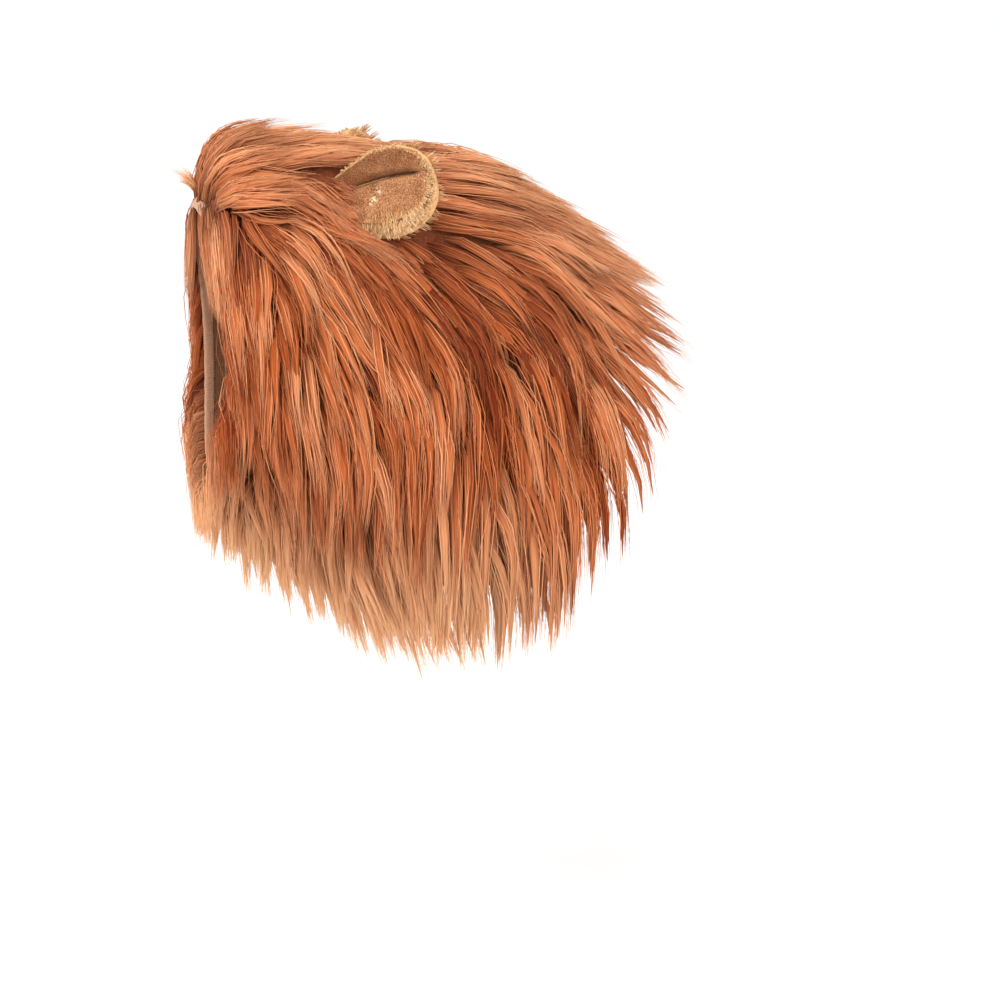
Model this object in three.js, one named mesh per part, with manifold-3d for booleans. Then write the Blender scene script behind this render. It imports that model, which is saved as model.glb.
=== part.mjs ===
// A lion mane wig for a large pet: a pull-on hood of three sewn cloth panels, covered in long-pile
// faux fur that hangs past its hems, with a turned hem at the face and at the neck, and two plush ears
// that are sewn to the crown.
// Millimetres, +Z up. The wearer faces -Y and its left is +X. The origin is the spot inside the crown
// where the hood sits on the head. The hood is a tube of slanting rings: each ring has a highest point,
// a lowest point and a half width, and its sides bow towards the shoulders.
import * as THREE from "three";
import { mergeVertices } from "three/addons/utils/BufferGeometryUtils.js";
import Module from "manifold-3d";

const wasm = await Module();
wasm.setup();

// Hood
const HOOD_LENGTH = 305; // forehead rim to nape hem, front to back
const HOOD_DROP = 330; // crown to throat hem, top to bottom
const HOOD_HALF_WIDTH = 104; // inside, at the neck hem
const CLOTH_WALL = 2.2; // knitted backing and the roots of the pile
const SEAM_GAP = 0.5; // between two panels
const CLEARANCE = 0.35; // between pieces that touch
const CROWN_PANEL_ANGLE = 38; // degrees from the top to the crown panel's seams
const HEM_WIDTH = 9;
const HEM_EXTRA = 0.9; // a turned hem stands this proud of the cloth, inside and out

// Fur
const PILE_MAT = 7; // the dense foot of the pile
const LOCK_LENGTH = 108;
const LOCK_WIDTH = 56;
const LOCK_THICKNESS = 17;
const FOREHEAD_LOFT = 6; // how high the hair stands above the forehead before it lies back
const CROWN_LOFT = 13; // and above the crown
const SIDE_LOFT = 21; // and off the sides and the throat
const CHIN_FLARE = 30; // how far the hair under the chin springs forward before it falls
const CHIN_SHARE = 0.68; // how long the hair under the chin is, against the rest
const FLOW_BEND = 8; // degrees by which the hair bends below a line from the middle of the forehead
const SIDE_FALL = 34; // and the degrees by which it falls off the sides of the crown

// Ears
const EAR_LENGTH = 78;
const EAR_WIDTH = 56;
const EAR_FACE_WALL = 1.8; // short-nap face cloth
const EAR_BACK_WALL = 6; // plush back
const EAR_RIM_LOW = 12; // the plush shows this far past the face cloth at the lower edge
const EAR_RIM_HIGH = 3; // and at the upper edge
const EAR_RIM_RISE = 2; // how far the rim comes forward round the face cloth
const EAR_CUP = 11; // depth of the hollow
const EAR_CREASE = 5; // depth of the crease that runs from the gathered base
const EAR_CREASE_SHARE = 0.28; // where it lies between the middle and the upper edge
const EAR_SEAT_SHARE = 0.405; // where along the hood the ear is sewn on, as a share of the rings
const EAR_ANGLE = 39; // degrees round from the top
const EAR_LEAN = { out: 0.6, back: 0.74, up: 0.31 }; // direction from base to tip
const EAR_FACING = { out: 0.757, back: -0.649, up: 0.078 }; // direction its hollow faces

const RADIANS = Math.PI / 180;
const HALF_TURN = 180;
const FULL_TURN = 360;

// Rings of the hood from the face to the neck. Places front to back are shares of the hood's length,
// heights are shares of its drop, widths are shares of its half width, and bow is a share of its length.
const RINGS = [
  { topAlong: -0.449, topUp: -0.091, lowAlong: -0.42, lowUp: -0.76, half: 0.76, bow: 0.05 },
  { topAlong: -0.387, topUp: -0.018, lowAlong: -0.38, lowUp: -0.8, half: 0.84, bow: 0.055 },
  { topAlong: -0.23, topUp: 0.012, lowAlong: -0.325, lowUp: -0.845, half: 0.89, bow: 0.07 },
  { topAlong: 0, topUp: 0, lowAlong: -0.265, lowUp: -0.885, half: 0.93, bow: 0.1 },
  { topAlong: 0.223, topUp: -0.048, lowAlong: -0.195, lowUp: -0.925, half: 0.965, bow: 0.135 },
  { topAlong: 0.39, topUp: -0.14, lowAlong: -0.115, lowUp: -0.965, half: 0.985, bow: 0.17 },
  { topAlong: 0.53, topUp: -0.24, lowAlong: -0.02, lowUp: -1, half: 1, bow: 0.2 },
];

// Panels by the angle round the ring, in degrees from the top towards the wearer's left. The right side
// is the left side mirrored.
const PANELS = [
  { name: "crown_panel", from: -CROWN_PANEL_ANGLE, to: CROWN_PANEL_ANGLE, columns: 5 },
  { name: "left_side_panel", from: CROWN_PANEL_ANGLE, to: HALF_TURN, columns: 9 },
];
const PANEL_ROWS = 8;

// Rows of locks. station is where the roots lie from face to neck, count is how many locks from the top
// round to the throat on one side, length and width are shares of LOCK_LENGTH and LOCK_WIDTH, and
// shift is how far round the row is moved, in locks.
const LOCK_ROWS = [
  { station: 0.03, count: 8, length: 0.86, width: 0.84, shift: 0.5 },
  { station: 0.3, count: 7, length: 0.95, width: 1.02, shift: 0 },
  { station: 0.52, count: 7, length: 1, width: 1.08, shift: 0.5 },
  { station: 0.76, count: 8, length: 1, width: 1.08, shift: 0 },
  { station: 0.96, count: 10, length: 0.94, width: 0.96, shift: 0.5 },
];

// Sections of one lock from root to tip: share of its path, of its width and of its thickness.
const LOCK_SECTIONS = [
  { at: 0, width: 0.75, thickness: 0.8 },
  { at: 0.25, width: 0.95, thickness: 1 },
  { at: 0.5, width: 1, thickness: 1 },
  { at: 0.75, width: 0.7, thickness: 0.75 },
  { at: 1, width: 0.08, thickness: 0.14 },
];
const LOCK_STEPS = 24;
const LOCK_RISE_SHARE = 0.375; // the share of a lock that still climbs from its root

// Corners of a section, as shares of its half width and half thickness.
const LOCK_PROFILE = [[-1, -0.4], [0, 1], [1, -0.4]];

// Outline of an ear from base to tip: share of its length and of its half width. It starts inside the
// hood, whose surface cuts it off.
const EAR_OUTLINE = [
  { at: -0.14, half: 0.5 },
  { at: 0.2, half: 0.8 },
  { at: 0.45, half: 1 },
  { at: 0.7, half: 0.94 },
  { at: 0.87, half: 0.7 },
  { at: 0.965, half: 0.4 },
  { at: 1, half: 0.12 },
];
const EAR_ACROSS = [-1, -0.7, -0.3, 0.1, 0.28, 0.46, 0.75, 1];

const materials = {
  backing: new THREE.MeshStandardMaterial({ color: 0x9c6a48, roughness: 0.95, metalness: 0 }),
  hem: new THREE.MeshStandardMaterial({ color: 0xb98260, roughness: 0.9, metalness: 0 }),
  fur: new THREE.MeshStandardMaterial({ color: 0xb5673f, roughness: 0.7, metalness: 0 }),
  velour: new THREE.MeshStandardMaterial({ color: 0xb98055, roughness: 0.95, metalness: 0 }),
  plush: new THREE.MeshStandardMaterial({ color: 0xd8a06e, roughness: 0.95, metalness: 0 }),
};

// The hood's surface
const topLine = new THREE.CatmullRomCurve3(
  RINGS.map((r) => new THREE.Vector3(
    r.half * HOOD_HALF_WIDTH, r.topAlong * HOOD_LENGTH, r.topUp * HOOD_DROP)),
);
const lowLine = new THREE.CatmullRomCurve3(
  RINGS.map((r) => new THREE.Vector3(
    r.bow * HOOD_LENGTH, r.lowAlong * HOOD_LENGTH, r.lowUp * HOOD_DROP)),
);
const LINE_END_SHARE = 0.04; // the stretch of a line that sets how it runs on past its end

// A point of one of the two lines, which run on straight past the hood's ends.
function along(line, station) {
  const inside = THREE.MathUtils.clamp(station, 0, 1);
  const point = line.getPoint(inside);
  if (station === inside) return point;
  const inner = line.getPoint(station < 0 ? LINE_END_SHARE : 1 - LINE_END_SHARE);
  return point.add(point.clone().sub(inner).multiplyScalar(Math.abs(station - inside) / LINE_END_SHARE));
}

// The point at a station, an angle round from the top in degrees, and a height above the inner face.
function hoodPoint(station, angle, lift) {
  const top = along(topLine, station);
  const low = along(lowLine, station);
  const [half, bow] = [top.x, low.x];
  top.x = 0;
  low.x = 0;
  const up = top.clone().sub(low).multiplyScalar(0.5);
  const centre = top.clone().add(low).multiplyScalar(0.5);
  const radius = up.length();
  up.normalize();
  const rearward = new THREE.Vector3(0, up.z, -up.y);
  const [sine, cosine] = [Math.sin(angle * RADIANS), Math.cos(angle * RADIANS)];
  return centre
    .addScaledVector(up, (radius + lift) * cosine)
    .addScaledVector(rearward, bow * sine * sine)
    .add(new THREE.Vector3((half + lift) * sine, 0, 0));
}

const STATION_STEP = 0.004;
const ANGLE_STEP = 0.5;

// How a point moves along the hood, round it and with its height, and the way straight out of it.
function hoodFrame(station, angle, lift) {
  const here = hoodPoint(station, angle, lift);
  const rear = hoodPoint(station + STATION_STEP, angle, lift).sub(here).divideScalar(STATION_STEP);
  const round = hoodPoint(station, angle + ANGLE_STEP, lift).sub(here).divideScalar(ANGLE_STEP);
  const rise = hoodPoint(station, angle, lift + 1).sub(here);
  const out = round.clone().cross(rear).normalize();
  return { here, rear, round, rise, out };
}

// A point past one end of the hood, on the line of its cloth. reach is in millimetres, lift as above.
function edgePoint(station, angle, reach, lift) {
  const { here, rear } = hoodFrame(station, angle, lift);
  return here.addScaledVector(rear.normalize(), station < 0.5 ? -reach : reach);
}

// Closed meshes
function geometryOf(points, faces) {
  const geometry = new THREE.BufferGeometry();
  geometry.setAttribute("position", new THREE.Float32BufferAttribute(points.flatMap((p) => p.toArray()), 3));
  geometry.setIndex(faces.flat());
  return geometry;
}

function quad(faces, a, b, c, d) {
  faces.push([a, b, c], [a, c, d]);
}

// A sheet with thickness: outer and inner are grids of points, row by row.
function slab(outer, inner) {
  const rows = outer.length;
  const columns = outer[0].length;
  const faces = [];
  const at = (side, row, column) => (side * rows + row) * columns + column;
  for (let r = 0; r + 1 < rows; r++) {
    for (let c = 0; c + 1 < columns; c++) {
      quad(faces, at(0, r, c), at(0, r, c + 1), at(0, r + 1, c + 1), at(0, r + 1, c));
      quad(faces, at(1, r, c), at(1, r + 1, c), at(1, r + 1, c + 1), at(1, r, c + 1));
    }
    quad(faces, at(0, r, 0), at(0, r + 1, 0), at(1, r + 1, 0), at(1, r, 0));
    const last = columns - 1;
    quad(faces, at(0, r, last), at(1, r, last), at(1, r + 1, last), at(0, r + 1, last));
  }
  for (let c = 0; c + 1 < columns; c++) {
    quad(faces, at(0, 0, c), at(1, 0, c), at(1, 0, c + 1), at(0, 0, c + 1));
    const last = rows - 1;
    quad(faces, at(0, last, c), at(0, last, c + 1), at(1, last, c + 1), at(1, last, c));
  }
  return geometryOf([...outer.flat(), ...inner.flat()], faces);
}

// A closed skin through a run of sections, each with the same number of points, capped at both ends or
// joined end to start.
function loft(sections, isLoop) {
  const sides = sections[0].length;
  const faces = [];
  const links = isLoop ? sections.length : sections.length - 1;
  for (let s = 0; s < links; s++) {
    const next = (s + 1) % sections.length;
    for (let k = 0; k < sides; k++) {
      const beside = (k + 1) % sides;
      quad(faces, s * sides + k, s * sides + beside, next * sides + beside, next * sides + k);
    }
  }
  if (!isLoop) {
    const last = (sections.length - 1) * sides;
    for (let k = 1; k + 1 < sides; k++) {
      faces.push([0, k + 1, k], [last, last + k, last + k + 1]);
    }
  }
  return geometryOf(sections.flat(), faces);
}

function spread(from, to, steps) {
  return Array.from({ length: steps + 1 }, (_, i) => from + ((to - from) * i) / steps);
}

// Booleans
function solidOf(geometry) {
  const merged = mergeVertices(geometry);
  return new wasm.Manifold(new wasm.Mesh({
    numProp: 3,
    vertProperties: merged.attributes.position.array,
    triVerts: new Uint32Array(merged.index.array),
  }));
}

// Turned right way out, for sections that may have been listed either way round.
function facingOut(geometry) {
  if (solidOf(geometry).volume() >= 0) return geometry;
  const index = geometry.index.array;
  for (let i = 0; i < index.length; i += 3) [index[i + 1], index[i + 2]] = [index[i + 2], index[i + 1]];
  return geometry;
}

function solidFacingOut(geometry) {
  return solidOf(facingOut(geometry));
}

// The biggest connected piece of a solid, with no hollow sealed inside it.
function mainPiece(solid) {
  return solid.decompose().reduce((best, piece) => (piece.volume() > best.volume() ? piece : best));
}

const FINEST = 0.01; // corners closer than this are one

function geometryOfSolid(solid) {
  const mesh = solid.getMesh();
  const cut = new THREE.BufferGeometry();
  cut.setAttribute("position", new THREE.BufferAttribute(mesh.vertProperties, 3));
  cut.setIndex(new THREE.BufferAttribute(mesh.triVerts, 1));
  const geometry = mergeVertices(cut, FINEST);
  const index = geometry.index.array;
  const kept = [];
  for (let i = 0; i < index.length; i += 3) {
    const [a, b, c] = index.subarray(i, i + 3);
    if (a !== b && b !== c && c !== a) kept.push(a, b, c);
  }
  return geometry.setIndex(kept);
}

// The same shape on the wearer's other side.
function mirroredGeometry(solid) {
  const geometry = geometryOfSolid(solid).scale(-1, 1, 1);
  const index = geometry.index.array;
  for (let i = 0; i < index.length; i += 3) [index[i + 1], index[i + 2]] = [index[i + 2], index[i + 1]];
  return geometry;
}

function mirrored(solid) {
  return solidOf(mirroredGeometry(solid));
}

// The angles of the panels' columns all the way round, for what follows the cloth.
const [CROWN, LEFT] = PANELS;
const RIGHT = { from: HALF_TURN, to: FULL_TURN - CROWN_PANEL_ANGLE, columns: LEFT.columns };
const RING_ANGLES = [CROWN, LEFT, RIGHT].flatMap((p) => spread(p.from, p.to, p.columns).slice(0, -1));

// Cloth panels
const seamInset = (SEAM_GAP / 2 / HOOD_HALF_WIDTH) / RADIANS;

function panelGrid(panel, lift, inset = 0) {
  return spread(inset, 1 - inset, PANEL_ROWS).map((station) =>
    spread(panel.from + seamInset, panel.to - seamInset, panel.columns).map((angle) =>
      hoodPoint(station, angle, lift)));
}

function clothPanel(panel) {
  return slab(panelGrid(panel, CLOTH_WALL), panelGrid(panel, 0));
}

// A turned hem: a flat band that carries on from the cloth at one end of the hood.
function hemBand(station, grow) {
  const [near, far] = [CLEARANCE - grow, CLEARANCE + HEM_WIDTH + grow];
  const [inner, outer] = [-HEM_EXTRA - grow, CLOTH_WALL + HEM_EXTRA + grow];
  const corners = [[near, inner], [near, outer], [far, outer], [far, inner]];
  return loft(RING_ANGLES.map((angle) =>
    corners.map(([reach, lift]) => edgePoint(station, angle, reach, lift))), true);
}

// All that the hood fills up to a height above its inner face, with the wearer's room in it.
function hoodFilled(lift) {
  const ring = (place) => RING_ANGLES.map(place);
  const past = HEM_WIDTH + 2 * CLEARANCE;
  return solidFacingOut(loft([
    ring((angle) => edgePoint(0, angle, past, 0)),
    ring((angle) => edgePoint(0, angle, CLEARANCE, lift)),
    ...spread(0, 1, PANEL_ROWS).map((station) => ring((angle) => hoodPoint(station, angle, lift))),
    ring((angle) => edgePoint(1, angle, CLEARANCE, lift)),
    ring((angle) => edgePoint(1, angle, past, 0)),
  ], false));
}

// The cloth and the hems, filled, grown by the clearance.
function hoodCore() {
  const hems = [0, 1].map((station) => solidFacingOut(hemBand(station, CLEARANCE)));
  return wasm.Manifold.union([hoodFilled(CLOTH_WALL + CLEARANCE), ...hems]);
}

// Which way the hair runs at a point: it fans out from the forehead and falls towards the ground, the
// more so off the sides of the crown.
function hairFlow(point, angle) {
  const focus = { y: RINGS[0].topAlong * HOOD_LENGTH, z: RINGS[0].topUp * HOOD_DROP };
  const fan = Math.atan2(Math.max(focus.z - point.z, 0), Math.max(point.y - focus.y, 1));
  const level = Math.max(0, 1 - fan / (Math.PI / 2)) ** 1.5;
  const fall = SIDE_FALL * Math.sin(angle * RADIANS) ** 2 * level;
  const slope = fan + (FLOW_BEND * Math.sin(2 * fan) + fall) * RADIANS;
  return new THREE.Vector3(0, Math.cos(slope), -Math.sin(slope));
}

function loftAt(station, angle) {
  const loft = THREE.MathUtils.lerp(CROWN_LOFT, SIDE_LOFT, Math.sin((angle / 2) * RADIANS) ** 2 * 2);
  const forehead = Math.exp(-((station / 0.22) ** 2)) * Math.max(0, Math.cos(angle * RADIANS)) ** 2;
  return THREE.MathUtils.lerp(Math.min(loft, SIDE_LOFT), FOREHEAD_LOFT, forehead);
}

// How near a place is to the chin: 1 at the throat end of the face hem, 0 away from it.
function chinAt(station, angle) {
  return THREE.MathUtils.smoothstep(Math.abs(angle), 100, 150) * Math.exp(-((station / 0.42) ** 2));
}

// The line that a lock follows from its root: it climbs to its loft, then lies along the hood, and
// where the cloth turns away under it or comes to its end, it hangs free.
function lockPath(rootStation, rootAngle, length, loftHeight) {
  let [station, angle, lift] = [rootStation, rootAngle, CLOTH_WALL + PILE_MAT * 0.5];
  let frame = hoodFrame(station, angle, lift);
  const here = frame.here.clone();
  const step = length / LOCK_STEPS;
  const path = [];
  const flare = (CHIN_FLARE * chinAt(rootStation, rootAngle)) / (LOCK_RISE_SHARE * length);
  for (let k = 0; k <= LOCK_STEPS; k++) {
    const isRising = k < LOCK_RISE_SHARE * LOCK_STEPS;
    const flow = hairFlow(here, angle);
    if (isRising) flow.y -= flare;
    const leaving = flow.dot(frame.out);
    const lying = Math.max(leaving, 0) * (1 - 0.92 * Math.max(frame.out.z, 0));
    const climbing = isRising ? loftHeight / (LOCK_RISE_SHARE * length) : 0;
    const heading = flow.clone().addScaledVector(frame.out, Math.max(lying, climbing) - leaving);
    heading.y = Math.max(heading.y, -flare);
    heading.normalize();
    path.push({ here: here.clone(), heading, out: frame.out });
    here.addScaledVector(heading, step);
    if (station <= 0 || station >= 1) continue;
    const { rear, round, rise } = frame;
    const acrossStation = round.clone().cross(rise);
    const reach = step / rear.dot(acrossStation);
    station += heading.dot(acrossStation) * reach;
    angle += heading.dot(rise.clone().cross(rear)) * reach;
    lift += heading.dot(rear.clone().cross(round)) * reach;
    frame = hoodFrame(station, angle, lift);
  }
  return path;
}

// A flat lock round its path.
function lock(rootStation, rootAngle, length, width, grow) {
  const path = lockPath(rootStation, rootAngle, length, loftAt(rootStation, rootAngle));
  const sections = LOCK_SECTIONS.map((section) => {
    const { here, heading, out } = path[Math.round(section.at * LOCK_STEPS)];
    const side = heading.clone().cross(out).normalize();
    const face = side.clone().cross(heading);
    const halfWidth = (width * section.width) / 2 + grow;
    const halfThickness = (LOCK_THICKNESS * section.thickness) / 2 + grow;
    const centre = here.clone().addScaledVector(heading, section.at === 1 ? 2 * grow : 0);
    return LOCK_PROFILE.map(([across, above]) =>
      centre.clone().addScaledVector(side, across * halfWidth).addScaledVector(face, above * halfThickness));
  });
  return solidFacingOut(loft(sections, false));
}


// Ears
const vectorOf = (share) => new THREE.Vector3(share.out, share.back, share.up).normalize();

function earHalf(at) {
  const next = EAR_OUTLINE.findIndex((row) => row.at >= at);
  if (next <= 0) return EAR_OUTLINE[0].half;
  const [a, b] = [EAR_OUTLINE[next - 1], EAR_OUTLINE[next]];
  return THREE.MathUtils.lerp(a.half, b.half, (at - a.at) / (b.at - a.at));
}

// A point of the left ear. at runs from base to tip, across from the lower edge (-1) to the upper (1),
// depth is measured behind the face, rim is how far the outline is widened at those two edges, and
// creaseDepth is how deep the crease is.
function earPoint(at, across, depth, rim, creaseDepth) {
  const root = hoodFrame(EAR_SEAT_SHARE, EAR_ANGLE, CLOTH_WALL);
  const axis = vectorOf(EAR_LEAN);
  const facing = vectorOf(EAR_FACING);
  facing.addScaledVector(axis, -facing.dot(axis)).normalize();
  const width = axis.clone().cross(facing).multiplyScalar(-1);
  const bowl = Math.sin(Math.PI * (0.3 + 0.7 * at)) * (1 - across * across);
  const crease = Math.exp(-(((across - EAR_CREASE_SHARE) / 0.1) ** 2))
    * THREE.MathUtils.clamp(1 - at / 0.95, 0, 1);
  const edge = THREE.MathUtils.lerp(rim.low, rim.high, (1 + across) / 2);
  const halfWidth = (earHalf(at) * EAR_WIDTH) / 2 + edge;
  return root.here
    .addScaledVector(axis, at * EAR_LENGTH + rim.high * Math.max(0, 2 * at - 1))
    .addScaledVector(width, across * halfWidth)
    .addScaledVector(facing, -(EAR_CUP * bowl + creaseDepth * Math.sqrt(crease) + depth));
}

function earSheet(front, back, low, high, frontCrease = EAR_CREASE) {
  const grid = (depth, crease) => EAR_OUTLINE.map((row) =>
    EAR_ACROSS.map((across) => earPoint(row.at, across, depth, { low, high }, crease)));
  return solidFacingOut(slab(grid(front, frontCrease), grid(back, EAR_CREASE)));
}

const EAR_GAP = EAR_FACE_WALL + CLEARANCE;
const EAR_SIGHT = 60; // the fur is kept out of the hollow for this far in front of it

// The left ear's two pieces, and the room that the fur leaves for it.
function earSolids(core) {
  const face = earSheet(0, EAR_FACE_WALL, 0, 0);
  const back = earSheet(EAR_GAP - EAR_RIM_RISE, EAR_GAP + EAR_BACK_WALL, EAR_RIM_LOW, EAR_RIM_HIGH)
    .subtract(earSheet(-EAR_CUP, EAR_GAP, CLEARANCE, CLEARANCE));
  const room = wasm.Manifold.union([
    earSheet(-2 * CLEARANCE, EAR_GAP, 2 * CLEARANCE, 2 * CLEARANCE),
    earSheet(-CLEARANCE - EAR_RIM_RISE, EAR_GAP + EAR_BACK_WALL + CLEARANCE,
      EAR_RIM_LOW + CLEARANCE, EAR_RIM_HIGH + CLEARANCE, 0),
    earSheet(-EAR_SIGHT, EAR_GAP, 0, 0).subtract(hoodFilled(CLOTH_WALL + PILE_MAT)),
  ]);
  return { face: mainPiece(face.subtract(core)), back: mainPiece(back.subtract(core)), room };
}

// Fur
const MAT_INSET_SHARE = 0.007; // the pile starts this share of the hood from each hem

function pileMat(panel, grow) {
  const half = { ...panel, from: panel.from - grow / 2, to: panel.to + grow / 2 };
  return solidFacingOut(slab(
    panelGrid(half, CLOTH_WALL + CLEARANCE + PILE_MAT + grow, MAT_INSET_SHARE),
    panelGrid(half, CLOTH_WALL / 2, MAT_INSET_SHARE)));
}

function rowAngles(row) {
  const pitch = HALF_TURN / row.count;
  const first = -HALF_TURN + (row.shift > 0 ? row.shift : 1) * pitch;
  return Array.from({ length: 2 * row.count }, (_, i) => first + i * pitch);
}

const LOCKS = LOCK_ROWS.flatMap((row) => rowAngles(row).map((angle) => ({
  station: row.station,
  angle,
  length: row.length * LOCK_LENGTH * THREE.MathUtils.lerp(1, CHIN_SHARE, chinAt(row.station, angle)),
  width: row.width * LOCK_WIDTH,
})));

function locksBetween(from, to, grow) {
  return LOCKS
    .filter((l) => l.angle >= from - 0.001 && l.angle <= to + 0.001)
    .map((l) => lock(l.station, l.angle, l.length, l.width, grow));
}

// The wearer's left half of space, short of the seam at the throat.
const HALF_SPACE = 2000;
const leftBox = new THREE.BoxGeometry(HALF_SPACE, HALF_SPACE, HALF_SPACE);
leftBox.deleteAttribute("normal");
leftBox.deleteAttribute("uv");
leftBox.translate((HALF_SPACE + CLEARANCE) / 2, 0, 0);
const leftSpace = solidOf(leftBox);

const core = hoodCore();
const leftEar = earSolids(core.add(mirrored(core)));
const notFur = wasm.Manifold.union([core, leftEar.room, mirrored(leftEar.room)]);
const crownFur = (grow) => wasm.Manifold.union([
  pileMat(CROWN, grow),
  ...locksBetween(-CROWN_PANEL_ANGLE, CROWN_PANEL_ANGLE, grow),
]);
const crownRoom = crownFur(CLEARANCE);
const leftFur = mainPiece(wasm.Manifold.union([
  pileMat(LEFT, 0),
  ...locksBetween(CROWN_PANEL_ANGLE + 0.01, HALF_TURN, 0),
]).intersect(leftSpace).subtract(crownRoom.add(mirrored(crownRoom))).subtract(notFur));
const leftPanel = solidOf(clothPanel(LEFT));

const mane = new THREE.Group();
function addPiece(name, geometry, material) {
  geometry.computeVertexNormals();
  const piece = new THREE.Mesh(geometry, material);
  piece.name = name;
  mane.add(piece);
}

function addPair(name, solid, material) {
  addPiece(`left_${name}`, geometryOfSolid(solid), material);
  addPiece(`right_${name}`, mirroredGeometry(solid), material);
}

addPiece("crown_panel", clothPanel(CROWN), materials.backing);
addPair("side_panel", leftPanel, materials.backing);
addPiece("face_hem", facingOut(hemBand(0, 0)), materials.hem);
addPiece("neck_hem", facingOut(hemBand(1, 0)), materials.hem);
addPiece("crown_fur", geometryOfSolid(mainPiece(crownFur(0).subtract(notFur))), materials.fur);
addPair("mane_fur", leftFur, materials.fur);
addPair("ear_front", leftEar.face, materials.velour);
addPair("ear_back", leftEar.back, materials.plush);

export default mane;
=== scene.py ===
"""Dressed model of a pet lion mane wig: a pull-on hood of sewn knitted cloth, its long-pile faux fur
combed back in locks, turned hems, and two plush ears with velour faces."""

import math

import bpy
import numpy as np
from mathutils import Matrix, Vector


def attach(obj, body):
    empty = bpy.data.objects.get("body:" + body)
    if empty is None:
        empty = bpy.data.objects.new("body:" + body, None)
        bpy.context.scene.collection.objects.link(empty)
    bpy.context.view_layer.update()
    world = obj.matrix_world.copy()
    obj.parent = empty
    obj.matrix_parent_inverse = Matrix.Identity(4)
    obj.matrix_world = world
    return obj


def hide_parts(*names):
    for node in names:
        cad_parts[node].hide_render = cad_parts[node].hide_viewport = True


bl_info = {
    "name": "Lion Mane Wig",
    "version": (1, 0, 0),
    "blender": (4, 5, 0),
    "location": "3D View > Sidebar > Mane",
    "description": "Dresses a packed lion mane wig with its fur, hems, backing and ears",
    "category": "Object",
}

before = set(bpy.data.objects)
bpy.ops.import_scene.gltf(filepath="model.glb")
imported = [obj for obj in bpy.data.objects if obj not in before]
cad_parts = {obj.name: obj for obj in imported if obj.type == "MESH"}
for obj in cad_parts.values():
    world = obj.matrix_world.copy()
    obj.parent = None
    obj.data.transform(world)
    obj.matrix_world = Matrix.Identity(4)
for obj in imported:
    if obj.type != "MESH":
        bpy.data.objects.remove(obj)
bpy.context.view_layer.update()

MM = 0.001

# The hood, as in the part's source: millimetres, the wearer faces -Y and its left is +X.
HOOD_LENGTH = 305
HOOD_DROP = 330
HOOD_HALF_WIDTH = 104
CLOTH_WALL = 2.2
CROWN_PANEL_ANGLE = 38
HEM_WIDTH = 9
HEM_EXTRA = 0.9
HEM_HALF = CLOTH_WALL / 2 + HEM_EXTRA
# Section of a turned hem: how far past the cloth's edge, and its height as a share of HEM_HALF.
HEM_PROFILE = ((0.4, -0.9), (0.4, 0.9), (2, 1), (5, 1.02), (7.4, 0.9), (8.6, 0.5), (9, 0),
               (8.6, -0.5), (7.4, -0.9), (5, -1.02), (2, -1))
# Rows of stitches: each side of a seam, and past the cloth's edge in a hem.
SEAM_STITCHES_AT = 2.2
HEM_STITCHES_AT = 2.6
STITCH_GAP = 0.28
THREAD_RADIUS = 0.00032
PILE_MAT = 7
LOCK_LENGTH = 108
LOCK_THICKNESS = 17
FOREHEAD_LOFT = 6
CROWN_LOFT = 13
SIDE_LOFT = 21
CHIN_FLARE = 30
CHIN_SHARE = 0.68
FLOW_BEND = 8
SIDE_FALL = 34
LOCK_RISE_SHARE = 0.375

RINGS = {
    "top_along": (-0.449, -0.387, -0.23, 0, 0.223, 0.39, 0.53),
    "top_up": (-0.091, -0.018, 0.012, 0, -0.048, -0.14, -0.24),
    "low_along": (-0.42, -0.38, -0.325, -0.265, -0.195, -0.115, -0.02),
    "low_up": (-0.76, -0.8, -0.845, -0.885, -0.925, -0.965, -1),
    "half": (0.76, 0.84, 0.89, 0.93, 0.965, 0.985, 1),
    "bow": (0.05, 0.055, 0.07, 0.1, 0.135, 0.17, 0.2),
}
LINE_END_SHARE = 0.04
STATION_STEP = 0.004
ANGLE_STEP = 0.5

# Lock length along the hood from face to neck, as shares of the longest.
LENGTH_AT = {"station": (0, 0.3, 0.52, 0.76, 1), "length": (0.86, 0.95, 1, 1, 0.94)}

# How the hair is combed: flares in millimetres towards the face, curls in degrees by a lock's tip.
STEPS = 20
GUIDE_POINTS = 11
SWAY_TURN = 7.5
CHEEK_FLARE = 9
EDGE_FLARE = 0.5
JAW_FLARE = 34
FALL_CURL = 26
REAR_CURL = 26
STRAY_SHARE = 0.08
# How much lower the hair lies by an ear, and how much longer it grows behind the shoulder.
EAR_PARTING = 0.75
REAR_GROWTH = 0.34
# Where the lower edge of the mane lies as seen from the side.
LOWER_EDGE = {"y": (-175, -137, -63, -5, 86, 152, 194, 225, 238),
              "z": (-262, -320, -362, -404, -404, -368, -322, -260, -205)}
# More roots on both sides, where hair parts or is cut short: count, seed, stations and angles. They lie
# before the ears, behind them, at the temples, and along the face hem beside and over the forehead.
EXTRA_ROOTS = (
    (150, 6, (0.18, 0.38), (30, 62)),
    (40, 9, (0.42, 0.6), (56, 80)),
    (90, 7, (0.02, 0.16), (30, 78)),
    (80, 8, (-0.026, -0.012), (30, 122)),
    (50, 10, (-0.028, -0.012), (5, 34)),
)
# Rings of the body inside a lock: their places from root to tip, and their girth.
BODY_PLACES = np.array((0.02, 0.2, 0.42, 0.64, 0.84))
BODY_GIRTH = np.array((0.6, 1, 0.82, 0.45, 0.03))
BODY_SIDES = 5
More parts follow.
